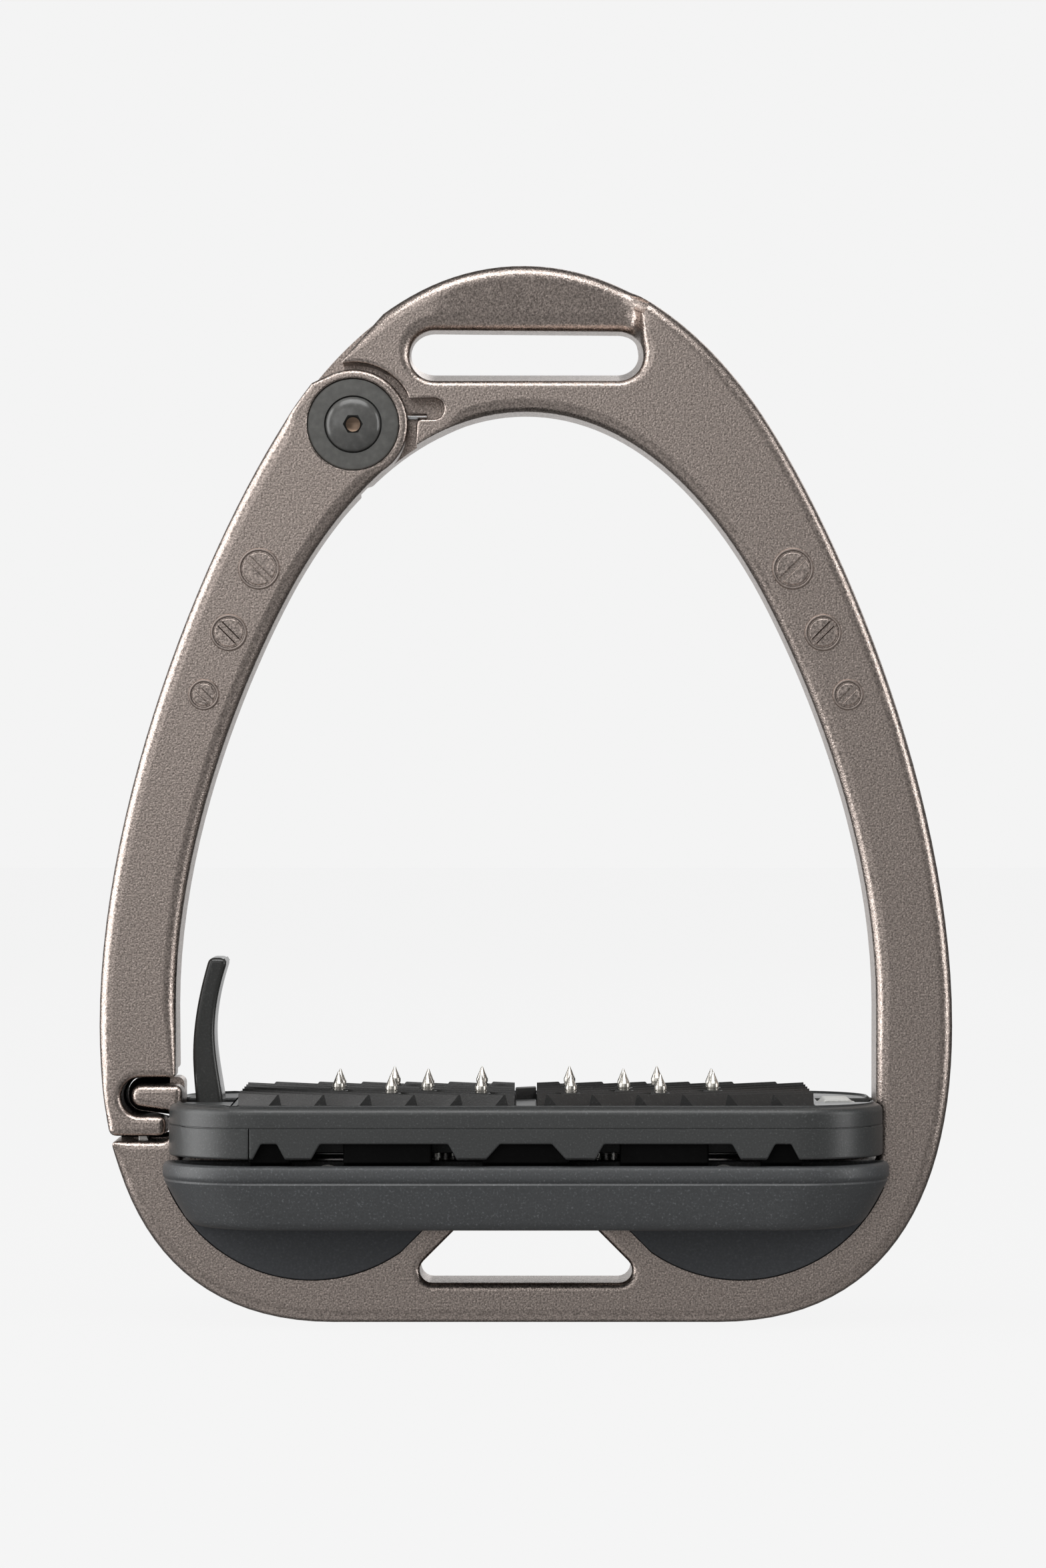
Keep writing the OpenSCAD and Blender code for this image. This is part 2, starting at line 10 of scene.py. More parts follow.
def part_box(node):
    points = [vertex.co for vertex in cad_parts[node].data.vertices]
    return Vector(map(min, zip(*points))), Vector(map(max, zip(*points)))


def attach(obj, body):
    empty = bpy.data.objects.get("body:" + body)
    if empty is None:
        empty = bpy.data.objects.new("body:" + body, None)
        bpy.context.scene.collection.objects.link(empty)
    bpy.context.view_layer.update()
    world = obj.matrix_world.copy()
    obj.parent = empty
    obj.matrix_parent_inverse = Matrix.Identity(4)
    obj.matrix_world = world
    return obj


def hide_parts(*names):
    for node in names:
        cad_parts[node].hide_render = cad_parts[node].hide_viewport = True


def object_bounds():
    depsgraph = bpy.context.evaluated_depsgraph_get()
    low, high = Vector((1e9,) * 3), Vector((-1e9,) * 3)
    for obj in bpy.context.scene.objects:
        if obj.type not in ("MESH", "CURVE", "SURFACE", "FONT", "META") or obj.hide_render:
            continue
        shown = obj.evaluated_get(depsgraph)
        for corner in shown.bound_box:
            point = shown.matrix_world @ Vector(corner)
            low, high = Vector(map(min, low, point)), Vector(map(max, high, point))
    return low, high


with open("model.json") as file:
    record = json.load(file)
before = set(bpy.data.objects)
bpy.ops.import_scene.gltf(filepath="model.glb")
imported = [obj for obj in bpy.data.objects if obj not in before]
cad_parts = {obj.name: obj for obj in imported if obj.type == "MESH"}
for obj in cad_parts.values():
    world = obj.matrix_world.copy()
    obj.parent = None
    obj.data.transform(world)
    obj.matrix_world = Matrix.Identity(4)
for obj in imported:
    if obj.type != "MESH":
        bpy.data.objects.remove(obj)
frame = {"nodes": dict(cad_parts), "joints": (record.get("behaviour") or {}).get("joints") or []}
cad_low, cad_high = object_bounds()

# Shapes are drawn in millimetres in the frame's axes (X right, Y back, Z up) and scaled at the end.
MM = 0.001
JOINTS = {joint["name"]: joint for joint in frame["joints"]}


# ---- sizes, from the frame where it has them ----

def box_mm(node):
    low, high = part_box(node)
    return low / MM, high / MM


def joint_mm(name):
    x, _, z = JOINTS[name]["pos_m"]
    return x / MM, z / MM


HALF_WIDTH, HALF_THICK, HEIGHT = box_mm("frame")[1]
PIVOT_X, PIVOT_Z = joint_mm("arm_hinge")
PIVOT = (PIVOT_X, PIVOT_Z)
LEVER_X, LEVER_Z = joint_mm("lever_hinge")
HALF_OPENING = 60.4
ARCH_TOP = 157.1
CROSSBAR_TOP = 27.5
STUB_TOP = 31.3
ARM_FOOT = box_mm("side_arm")[0].z
HUB_RADIUS = 9.5
EAR_RADIUS = 10.4
LAP_GAP = 0.3
# How much larger the latch's tongue and hook are in the rear half
TONGUE_STEP = 1.0
CHEEK_DEPTH = 2.0
TREAD_TOP = 38.0
DECK_BOTTOM = TREAD_TOP - 3.5
SKIRT_BOTTOM = TREAD_TOP - 8.75
NOTCH_TOP = TREAD_TOP - 6.1
BED_HALF_DEPTH = 28.5
PLATE_HALF_LENGTH = 61.4
TRAY_TOP = 28.1
TRAY_BOTTOM = 17.1
TRAY_HALF_LENGTH = 62.5
LEVER_WIDTH = 13.0
STUD_TIP = box_mm("studs_right")[1].z
# The arm's hook in its front half: the middle and radius of its end, and where the jaw under it stops
LATCH_CENTRE = (-66.5, 39)
HOOK_RADIUS = 3.3
HOOK_END = -62.1


# ---- outlines ----

def cubic(a, b, c, d, count=26):
    """Points of a cubic curve from a to d, without its last point."""
    a, b, c, d = Vector(a), Vector(b), Vector(c), Vector(d)
    points = []
    for i in range(count):
        t = i / count
        s = 1 - t
        points.append(a * s ** 3 + b * 3 * s * s * t + c * 3 * s * t * t + d * t ** 3)
    return points


def arc(centre, radius, start, end, count=12):
    """Points of an arc from angle start to angle end, in degrees."""
    points = []
    for i in range(count + 1):
        angle = math.radians(start + (end - start) * i / count)
        x = centre[0] + radius * math.cos(angle)
        points.append(Vector((x, centre[1] + radius * math.sin(angle))))
    return points


def circle(centre, radius, count=96):
    return arc(centre, radius, 0, 360, count)[:-1]


def rounded(corners, count=6):
    """Closed outline through corners (x, z, radius), each rounded by its radius."""
    points = []
    for i, (x, z, radius) in enumerate(corners):
        here = Vector((x, z))
        if radius == 0:
            points.append(here)
            continue
        back = (Vector(corners[i - 1][:2]) - here).normalized()
        ahead = (Vector(corners[(i + 1) % len(corners)][:2]) - here).normalized()
        half = back.angle(ahead) / 2
        centre = here + (back + ahead).normalized() * radius / math.sin(half)
        first = here + back * radius / math.tan(half) - centre
        last = here + ahead * radius / math.tan(half) - centre
        start = math.degrees(math.atan2(first.y, first.x))
        turn = (math.degrees(math.atan2(last.y, last.x)) - start + 540) % 360 - 180
        points += arc(centre, radius, start, start + turn, count)
    return points


def mirrored(points):
    return [Vector((-p.x, p.y)) for p in reversed(points)]


def direction(angle):
    return Vector((math.cos(math.radians(angle)), math.sin(math.radians(angle))))


def iron_outside():
    shoulder = Vector((41.5, HEIGHT - 26.9))
    down = direction(-57.3)
    heel = 51.2
    half = cubic((0, HEIGHT), (19.2, HEIGHT), shoulder - 15.3 * down, shoulder)
    half += cubic(shoulder, shoulder + 26.1 * down, (HALF_WIDTH, heel + 38.2), (HALF_WIDTH, heel))
    half += cubic((HALF_WIDTH, heel), (HALF_WIDTH, heel - 30.4), (61.8, 0), (33.2, 0))
    half.append(Vector((33.2, 0)))
    return half + mirrored(half)[:-1]


def iron_inside():
    haunch = Vector((39.5, ARCH_TOP - 28.9))
    down = direction(-60)
    knee = 54.5
    half = cubic((0, ARCH_TOP), (15.6, ARCH_TOP), haunch - 20.5 * down, haunch)
    half += cubic(haunch, haunch + 3 * down, (HALF_OPENING, knee + 36.8), (HALF_OPENING, knee))
    half += [Vector((HALF_OPENING, knee)), Vector((HALF_OPENING, CROSSBAR_TOP))]
    return half + mirrored(half)[:-1]


def bed_plan(half_length, half_depth, corner_x, corner_y):
    """Plan of the footbed: straight sides and elliptical corners."""
    count = 14
    points = []
    for quarter in range(4):
        sx = 1 if quarter in (0, 3) else -1
        sy = 1 if quarter < 2 else -1
        for i in range(count + 1):
            ray = direction(90 * (quarter + i / count))
            points.append(Vector((
                sx * (half_length - corner_x) + corner_x * ray.x,
                sy * (half_depth - corner_y) + corner_y * ray.y,
            )))
    return points


# ---- meshes ----

def place_new(name, data):
    """New object in the scene."""
    obj = bpy.data.objects.new(name, data)
    bpy.context.scene.collection.objects.link(obj)
    return obj


def new_object(name, bm):
    bmesh.ops.remove_doubles(bm, verts=bm.verts, dist=0.002)
    bmesh.ops.recalc_face_normals(bm, faces=bm.faces)
    mesh = bpy.data.meshes.new(name)
    bm.to_mesh(mesh)
    bm.free()
    return place_new(name, mesh)


def loft(name, rows, caps=True):
    """Skin over rows of points, each row a loop with the same number of points."""
    bm = bmesh.new()
    loops = [[bm.verts.new(p) for p in row] for row in rows]
    count = len(rows[0])
    for lower, upper in zip(loops, loops[1:]):
        for i in range(count):
            k = (i + 1) % count
            bm.faces.new((lower[i], lower[k], upper[k], upper[i]))
    if caps:
        bm.faces.new(list(reversed(loops[0])))
        bm.faces.new(loops[-1])
    return new_object(name, bm)


def prism_y(points, front, rear):
    """Solid between Y front and Y rear from an outline in the XZ plane."""
    return loft("prism", [[(p.x, y, p.y) for p in points] for y in (front, rear)])


def prism_z(points, low, high):
    return loft("prism", [[(p.x, p.y, z) for p in points] for z in (low, high)])


def block(low, high):
    """Box-shaped tool between two corners."""
    x0, y0, z0 = low
    x1, y1, z1 = high
    return prism_y([Vector(p) for p in ((x0, z0), (x1, z0), (x1, z1), (x0, z1))], y0, y1)


def disc_tool(centre, radius, count):
    """Round tool through a flat solid."""
    return prism_y(circle(centre, radius, count), -1, 2)


def half_plane(angle, at=PIVOT, reach=90.0):
    """Tool that holds everything on the side of a point that the angle points to."""
    at = Vector(at)
    out = direction(angle) * reach
    side = Vector((-out.y, out.x))
    return prism_y([at + side, at - side, at - side + out * 2, at + side + out * 2], -1, 2)


def turned(name, profile, centre, axis="z", count=72):
    """Turned solid: profile is (radius, height along the axis)."""
    rows = []
    for radius, height in profile:
        row = []
        for i in range(count):
            u = radius * math.cos(2 * math.pi * i / count)
            v = radius * math.sin(2 * math.pi * i / count)
            local = (u, v, height) if axis == "z" else (u, height, v)
            row.append(Vector(centre) + Vector(local))
        rows.append(row)
    return loft(name, rows)


def tube(name, path, radius):
    """Round wire along a path of points."""
    count = 14
    path = [Vector(p) for p in path]
    rows = []
    normal = None
    for i, p in enumerate(path):
        along = (path[min(i + 1, len(path) - 1)] - path[max(i - 1, 0)]).normalized()
        if normal is None:
            normal = along.orthogonal().normalized()
        normal = (normal - along * normal.dot(along)).normalized()
        other = along.cross(normal)
        turns = [2 * math.pi * k / count for k in range(count)]
        rows.append([p + (normal * math.cos(turn) + other * math.sin(turn)) * radius for turn in turns])
    return loft(name, rows)


def bake(obj):
    """Makes what the modifiers show the object's own mesh."""
    graph = bpy.context.evaluated_depsgraph_get()
    mesh = bpy.data.meshes.new_from_object(obj.evaluated_get(graph))
    old = obj.data
    obj.modifiers.clear()
    obj.data = mesh
    bpy.data.meshes.remove(old)


def combine(obj, operation, tools):
    """Cuts, joins or intersects with the tools, which are used up."""
    for tool in tools:
        step = obj.modifiers.new("step", "BOOLEAN")
        step.operation = operation
        step.solver = "EXACT"
        step.object = tool
    bake(obj)
    for tool in tools:
        bpy.data.objects.remove(tool)
    return obj


def cut(obj, *tools):
    return combine(obj, "DIFFERENCE", tools)


def join(obj, *tools):
    return combine(obj, "UNION", tools)


def keep(obj, *tools):
    return combine(obj, "INTERSECT", tools)


def mesh_of(*objects):
    """The objects' meshes as one bmesh."""
    bm = bmesh.new()
    for obj in objects:
        bm.from_mesh(obj.data)
    return bm


def store(bm, obj):
    """Makes a bmesh the object's mesh."""
    bm.to_mesh(obj.data)
    bm.free()


def round_edges(obj, radius_at, widest, segments):
    """Rounds each sharp edge by radius_at(its middle), which is 0 where it stays sharp."""
    sharp = math.radians(26)
    bm = mesh_of(obj)
    bmesh.ops.remove_doubles(bm, verts=bm.verts, dist=0.004)
    bmesh.ops.dissolve_degenerate(bm, edges=bm.edges, dist=0.002)
    bmesh.ops.dissolve_limit(bm, angle_limit=math.radians(0.15), verts=bm.verts, edges=bm.edges)
    layers = bm.edges.layers.float
    weight = layers.get("bevel_weight_edge") or layers.new("bevel_weight_edge")
    for edge in bm.edges:
        edge[weight] = 0.0
        if len(edge.link_faces) == 2 and edge.calc_face_angle(0.0) > sharp:
            middle = (edge.verts[0].co + edge.verts[1].co) / 2
            edge[weight] = radius_at(middle) / widest
    store(bm, obj)
    step = obj.modifiers.new("round", "BEVEL")
    step.limit_method = "WEIGHT"
    step.width = widest
    step.segments = segments
    step.use_clamp_overlap = False
    step.miter_outer = "MITER_ARC"
    bake(obj)
    return obj


def clean_loop(points, least=0.12):
    """The loop without points that lie closer together than least."""
    kept = []
    for p in points:
        if not kept or (p - kept[-1]).length > least:
            kept.append(p)
    if (kept[0] - kept[-1]).length <= least:
        kept.pop()
    return kept


def turning(before, here, after):
    """Turn to the left at a corner of a loop, in radians."""
    a, b = here - before, after - here
    return math.atan2(a.x * b.y - a.y * b.x, a.dot(b))


def soften(loop, radius_at):
    """The loop with each sharp corner drawn as a curve of about radius_at(corner)."""
    sharp = math.radians(24)
    count = 5
    points = []
    for i, here in enumerate(loop):
        before, after = loop[i - 1], loop[(i + 1) % len(loop)]
        turn = turning(before, here, after)
        if abs(turn) < sharp:
            points.append(here)
            continue
        tangent = min(radius_at(here) * math.tan(abs(turn) / 2),
                      0.45 * (here - before).length, 0.45 * (after - here).length)
        start = here + (before - here).normalized() * tangent
        end = here + (after - here).normalized() * tangent
        for k in range(count + 1):
            t = k / count
            points.append(start * (1 - t) ** 2 + here * 2 * t * (1 - t) + end * t ** 2)
    return clean_loop(points, 0.02)


def outlines(solid, corner_at):
    """Loops round the front face of a flat solid, with the material on their left. Uses the solid up."""
    bm = mesh_of(solid)
    bmesh.ops.remove_doubles(bm, verts=bm.verts, dist=0.01)
    bm.normal_update()
    faces = {face for face in bm.faces if face.normal.y < -0.9}
    ring = {}
    for edge in bm.edges:
        if sum(face in faces for face in edge.link_faces) == 1:
            for one, other in (edge.verts, reversed(edge.verts)):
                ring.setdefault(one, []).append(other)
    loops = []
    while ring:
        here = next(iter(ring))
        walk = []
        while here in ring:
            walk.append(Vector((here.co.x, here.co.z)))
            onward = [v for v in ring.pop(here) if v in ring]
            if not onward:
                break
            here = onward[0]
        loops.append(clean_loop(walk))
    bm.free()
    bpy.data.objects.remove(solid)
    loops.sort(key=lambda loop: -abs(loop_area(loop)))
    turned_loops = []
    for index, loop in enumerate(loops):
        wanted = 1 if index == 0 else -1
        if loop_area(loop) * wanted < 0:
            loop.reverse()
        turned_loops.append(soften(loop, corner_at))
    return turned_loops


def loop_area(loop):
    return sum(a.x * b.y - a.y * b.x for a, b in zip(loop, loop[1:] + loop[:1])) / 2


def inward(loop):
    """For each point of a loop, its step towards the material for an offset of 1."""
    steps = []
    for i, here in enumerate(loop):
        along = (here - loop[i - 1]).normalized()
        onward = (loop[(i + 1) % len(loop)] - here).normalized()
        normal = Vector((-along.y - onward.y, along.x + onward.x)).normalized()
        steps.append(normal / max(normal.dot(Vector((-along.y, along.x))), 0.35))
    return steps


def rim_radii(loop, steps, radius_at):
    """Rim radius at each point, reduced where a tight corner leaves no room, and changing slowly."""
    radii = [radius_at(p) for p in loop]
    count = len(loop)
    lengths = [(loop[(i + 1) % count] - loop[i]).length for i in range(count)]
    for i in range(count):
        k = (i + 1) % count
        along = (loop[k] - loop[i]).normalized()
        closing = (steps[i] - steps[k]).dot(along)
        if closing > 1e-6:
            room = 0.9 * lengths[i] / closing
            radii[i] = min(radii[i], room)
            radii[k] = min(radii[k], room)
    # A thin tip or neck leaves each side less than half of its width
    along_loop = [sum(lengths[:i]) for i in range(count)]
    total = sum(lengths)
    for i in range(count):
        for k in range(i + 2, count):
            straight = (loop[i] - loop[k]).length
            path = along_loop[k] - along_loop[i]
            if straight < 4 and min(path, total - path) > 1.6 * straight:
                radii[i] = min(radii[i], 0.42 * straight)
                radii[k] = min(radii[k], 0.42 * straight)
    for _ in range(3):
        for i in list(range(count)) + list(range(count - 1, -1, -1)):
            nearby = min(radii[i - 1] + 0.5 * lengths[i - 1], radii[(i + 1) % count] + 0.5 * lengths[i])
            radii[i] = min(radii[i], nearby)
    return radii


def inside(point, loops):
    """Whether a point is in the material, by counting the loops' edges to its right."""
    odd = False
    for loop in loops:
        for a, b in zip(loop, loop[1:] + loop[:1]):
            if (a.y > point.y) != (b.y > point.y):
                if point.x < a.x + (point.y - a.y) * (b.x - a.x) / (b.y - a.y):
                    odd = not odd
    return odd


def cap_faces(bm, rows, depth_at, extra):
    """Fills the face inside the rims' innermost rows, which are lists of (vertex, point)."""
    points = [p for row in rows for _, p in row]
    verts = [v for row in rows for v, _ in row]
    edges = []
    first = 0
    for row in rows:
        edges += [(first + i, first + (i + 1) % len(row)) for i in range(len(row))]
        first += len(row)
    loops = [[p for _, p in row] for row in rows]
    for p in extra:
        near = min((p - q).length for q in points)
        if near > 0.3 and inside(p, loops):
            points.append(p)
            verts.append(bm.verts.new((p.x, depth_at(p), p.y)))
    places, _, faces, sources, _, _ = delaunay_2d_cdt(points, edges, [], 0, 1e-5)
    for i, place in enumerate(places):
        if not sources[i]:
            sources[i].append(len(verts))
            verts.append(bm.verts.new((place.x, depth_at(place), place.y)))
    for face in faces:
        if inside(sum((places[i] for i in face), Vector((0, 0))) / 3, loops):
            corners = [verts[sources[i][0]] for i in face]
            if len(set(corners)) == 3 and bm.faces.get(corners) is None:
                bm.faces.new(corners)


def slab(loops, front, rear, front_radius, rear_radius, front_depth, rear_depth, extra=()):
    """Solid between two faces across Y, with a rounded rim at each face that has a radius function.

    front_depth and rear_depth say how far each face lies behind its own plane at a point.
    """
    steps = 6
    bm = bmesh.new()
    front_rows, rear_rows = [], []
    for loop in loops:
        offsets = inward(loop)
        rows = []
        for plane, sign, radius_at, depth_at in ((front, 1, front_radius, front_depth),
                                                 (rear, -1, rear_radius, rear_depth)):
            radii = rim_radii(loop, offsets, radius_at) if radius_at else [0.0] * len(loop)
            # Each row's inset and depth as shares of the rim radius: a flat strip, then the rounding
            shares = [(0.0, 0.0)]
            if radius_at:
                turns = [math.radians(90 * k / steps) for k in range(steps + 1)]
                shares = [(1.1, 0.0)] + [(1 - math.sin(turn), 1 - math.cos(turn)) for turn in turns]
            side = []
            for inset, depth in shares:
                row = []
                for p, offset, radius in zip(loop, offsets, radii):
                    q = p + offset * radius * inset
                    y = plane + sign * (depth_at(q) + radius * depth)
                    row.append((bm.verts.new((q.x, y, q.y)), q))
                side.append(row)
            rows.append(side)
        front_rows.append(rows[0][0])
        rear_rows.append(rows[1][0])
        skin = rows[0] + rows[1][::-1]
        for lower, upper in zip(skin, skin[1:]):
            for i in range(len(loop)):
                k = (i + 1) % len(loop)
                bm.faces.new((lower[i][0], lower[k][0], upper[k][0], upper[i][0]))
    cap_faces(bm, front_rows, lambda p: front + front_depth(p), extra)
    cap_faces(bm, rear_rows, lambda p: rear - rear_depth(p), [Vector((-p.x, p.y)) for p in extra])
    return new_object("slab", bm)


def flat(p):
    return 0.0


def piece(obj, name, body, slot, material, *nodes):
    """Finishes a piece: metres, smooth shading, material, and the nodes that it stands for."""
    obj.name = name
    obj.data.name = name
    obj.data.transform(Matrix.Scale(MM, 4))
    obj.data.materials.clear()
    obj.data.materials.append(material)
    obj.data.shade_smooth()
    obj.data.set_sharp_from_angle(angle=math.radians(38))
    normals = obj.modifiers.new("normals", "WEIGHTED_NORMAL")
    normals.keep_sharp = True
    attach(obj, body)
    if nodes:
        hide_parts(*nodes)
    return obj


def flipped_copy(obj, axis):
    """Mirror image of a piece that isn't finished yet, across X or Y."""
    copy = place_new(obj.name, obj.data.copy())
    scale = (-1, 1, 1) if axis == "x" else (1, -1, 1)
    copy.data.transform(Matrix.Diagonal((*scale, 1)))
    copy.data.flip_normals()
    return copy


# ---- materials ----

def shader(name):
    """New material: its nodes, links and surface shader."""
    material = bpy.data.materials.new(name)
    material.use_nodes = True
    nodes = material.node_tree.nodes
    return material, nodes, material.node_tree.links, nodes["Principled BSDF"]


def noise(nodes, links, size, detail, stretch=None):
    """Noise with features of about the given size in millimetres."""
    coordinates = nodes.new("ShaderNodeTexCoord")
    texture = nodes.new("ShaderNodeTexNoise")
    texture.inputs["Scale"].default_value = 1 / (size * MM * 2)
    texture.inputs["Detail"].default_value = detail
    source = coordinates.outputs["Object"]
    if stretch:
        mapping = nodes.new("ShaderNodeMapping")
        mapping.inputs["Scale"].default_value = stretch
        links.new(source, mapping.inputs["Vector"])
        source = mapping.outputs["Vector"]
    links.new(source, texture.inputs["Vector"])
    return texture.outputs["Fac"]


def ramp(nodes, links, source, stops):
    """Colours along a value: stops are (position, colour)."""
    node = nodes.new("ShaderNodeValToRGB")
    elements = node.color_ramp.elements
    while len(elements) < len(stops):
        elements.new(0.5)
    for element, (position, colour) in zip(elements, stops):
        element.position = position
        element.color = (*colour, 1)
    links.new(source, node.inputs["Fac"])
    return node.outputs["Color"]


def grey(value):
    return (value, value, value)


def scaled(colour, factor):
    return tuple(c * factor for c in colour)


def bump(nodes, links, height, depth, strength, below=None):
    """Bump of the given depth in millimetres."""
    node = nodes.new("ShaderNodeBump")
    node.inputs["Distance"].default_value = depth * MM
    node.inputs["Strength"].default_value = strength
    links.new(height, node.inputs["Height"])
    if below:
        links.new(below, node.inputs["Normal"])
    return node.outputs["Normal"]


def blasted_alloy(name, grain):
    """Bead-blasted alloy under a satin anodised coat. grain scales the depth of the blasting."""
    material, nodes, links, surface = shader(name)
    base = (0.43, 0.365, 0.33)
    fine = noise(nodes, links, 0.15, 2.0)
    coarse = noise(nodes, links, 0.26, 1.0)
    dark, light = scaled(base, 1 - 0.5 * grain), scaled(base, 1 + 0.5 * grain)
    colour = ramp(nodes, links, fine, [(0.32, dark), (0.52, base), (0.68, light)])
    links.new(colour, surface.inputs["Base Color"])
    roughness = ramp(nodes, links, coarse, [(0.3, grey(0.25)), (0.7, grey(0.36))])
    links.new(roughness, surface.inputs["Roughness"])
    low = bump(nodes, links, coarse, 0.035 * grain, 0.7)
    links.new(bump(nodes, links, fine, 0.045 * grain, 1.0, below=low), surface.inputs["Normal"])
    surface.inputs["Metallic"].default_value = 1.0
    return material


def moulded(name, base, roughness, grain, depth, speck, specular=0.5):
    """Moulded plastic or rubber with a fine texture and slight unevenness."""
    material, nodes, links, surface = shader(name)
    fine = noise(nodes, links, grain, 3.0)
    broad = noise(nodes, links, 6.0, 2.0)
    dark, light = scaled(base, 0.82), scaled(base, speck)
    colour = ramp(nodes, links, fine, [(0.35, dark), (0.60, base), (0.74, light)])
    links.new(colour, surface.inputs["Base Color"])
    levels = [(0.3, grey(roughness - 0.05)), (0.7, grey(roughness + 0.05))]
    links.new(ramp(nodes, links, broad, levels), surface.inputs["Roughness"])
    links.new(bump(nodes, links, fine, depth, 0.8), surface.inputs["Normal"])
    surface.inputs["Specular IOR Level"].default_value = specular
    return material


def turned_metal(name, base, roughness, spread):
    """Machined metal with fine tool rings: the noise is drawn out round the turned axis."""
    material, nodes, links, surface = shader(name)
    rings = noise(nodes, links, 0.12, 2.0, stretch=(0.02, 0.02, 1))
    colour = ramp(nodes, links, rings, [(0.3, scaled(base, 0.8)), (0.7, scaled(base, 1.1))])
    links.new(colour, surface.inputs["Base Color"])
    levels = [(0.3, grey(roughness - spread)), (0.7, grey(roughness + spread))]
    links.new(ramp(nodes, links, rings, levels), surface.inputs["Roughness"])
    links.new(bump(nodes, links, rings, 0.02, 0.35), surface.inputs["Normal"])
    surface.inputs["Metallic"].default_value = 1.0
    return material


ALLOY = blasted_alloy("anodised_alloy", 1.0)
SMOOTH_ALLOY = blasted_alloy("anodised_alloy_smooth", 0.25)
CAP = moulded("black_cap", (0.100, 0.099, 0.093), 0.34, 0.5, 0.004, 1.15)
BLACK_STEEL = moulded("black_steel", (0.095, 0.094, 0.090), 0.20, 0.6, 0.003, 1.2)
STAINLESS = turned_metal("stainless_steel", (0.56, 0.55, 0.53), 0.30, 0.05)
TURNED = turned_metal("turned_stainless", (0.52, 0.50, 0.46), 0.27, 0.07)
WIRE = turned_metal("bright_spring_wire", (0.86, 0.87, 0.88), 0.24, 0.04)
NYLON = moulded("white_nylon", (0.74, 0.73, 0.69), 0.42, 0.4, 0.004, 1.02)
SATIN_BLACK = moulded("satin_black_plastic", (0.030, 0.0305, 0.029), 0.23, 0.16, 0.006, 1.6)
TREAD_BLACK = moulded("tread_black_plastic", (0.045, 0.047, 0.047), 0.38, 0.16, 0.020, 2.0)
GRIP = moulded("grip_rubber", (0.012, 0.012, 0.0116), 0.48, 0.20, 0.050, 3.0)
ELASTOMER = moulded("elastomer", grey(0.004), 0.65, 0.3, 0.010, 1.5, specular=0.10)
SLATE = moulded("slate_black_plastic", (0.060, 0.063, 0.066), 0.46, 0.18, 0.016, 2.2)
BLUE_BLACK = moulded("blue_black_plastic", (0.061, 0.065, 0.072), 0.52, 0.20, 0.006, 1.4)
LIGHT_GREY = moulded("light_grey_plastic", (0.50, 0.50, 0.48), 0.50, 0.25, 0.008, 1.1)
SOCKET = turned_metal("stainless_steel_socket", (0.24, 0.17, 0.125), 0.38, 0.06)


# ---- frame: crown, right branch, base and crossbar ----

def eye_slot():
    corners = [(x, z, 4.35) for x, z in ((-20, 162.3), (20.3, 162.3), (20.3, 171.2), (-20, 171.2))]
    return prism_y(rounded(corners, 14), -1, 2)


RELIEF_START, RELIEF_END, RELIEF_WALL, RELIEF_SLOPE = -15.0, 17.4, 19.6, 0.121
STEP_RADIUS = 1.5


def relief(p):
    """How far the strap bar's face is set back at a point: a slope that ends in a fillet and a step."""
    fillet = RELIEF_WALL - RELIEF_END
    deepest = (RELIEF_END - RELIEF_START) * RELIEF_SLOPE
    crest = RELIEF_WALL + STEP_RADIUS
    if p.x <= RELIEF_START or p.x >= crest:
        return 0.0
    if p.x <= RELIEF_END:
        depth = (p.x - RELIEF_START) * RELIEF_SLOPE
    elif p.x <= RELIEF_WALL:
        depth = deepest - fillet + math.sqrt(max(fillet ** 2 - (p.x - RELIEF_END) ** 2, 0))
    else:
        depth = STEP_RADIUS - math.sqrt(max(STEP_RADIUS ** 2 - (crest - p.x) ** 2, 0))
    return depth * min(max((p.y - 164) / 5.0, 0), 1)


def relief_points():
    """Points of the strap bar's face that carry the relief's slope, fillet and step."""
    columns = [RELIEF_START + 5.4 * i for i in range(7)]
    fillet = RELIEF_WALL - RELIEF_END
    columns += [RELIEF_END + fillet * math.sin(math.radians(a)) for a in range(12, 91, 13)]
    columns += [RELIEF_WALL + STEP_RADIUS * (1 - math.sin(math.radians(a))) for a in range(85, -1, -17)]
    return [Vector((x, 160.5 + 0.8 * k)) for x in columns for k in range(28)]


def drift(p):
    """Draft of the leather's slot: how its floor and right wall move by the rear face."""
    if abs(p.x) > 24 or not 158 < p.z < 171.2:
        return 0.0, 0.0
    share = (p.y + HALF_THICK) / (2 * HALF_THICK)
    rise = (p.z - 158) / 4.3 if p.z < 162.3 else (171.2 - p.z) / 8.9
    push = min(max((p.x - 16) / 4.3, 0), 1) * min(max((24 - p.x) / 3.7, 0), 1)
    hold = 1 if abs(p.x) < 20.3 else 0.3
    return -0.7 * push * share * min((171.2 - p.z) / 3, 1), 2.2 * rise * share * hold


def base_window():
    corners = [(-21.4, 6.9, 2.2), (21.4, 6.9, 2.2), (9.3, 19, 1), (-9.3, 19, 1)]
    return prism_y(rounded(corners, 8), -1, 2)


def latch_tongue(more):
    """Post and tongue inside the arm's hook: more is how much larger it is than in the front half."""
    end, top, radius = -68 - more, 41 + more, 1.6 + more
    corners = [(-59.3, 26, 0), (-59.3, top, 1.2), (end, top, radius), (end, 37.5 - more, radius),
               (-61.5, 36.5 - more, 0.4), (-61.5, 30.5, 0), (-63, 30, 0), (-63, 26, 0)]
    return prism_y(rounded(corners), 0, 1)


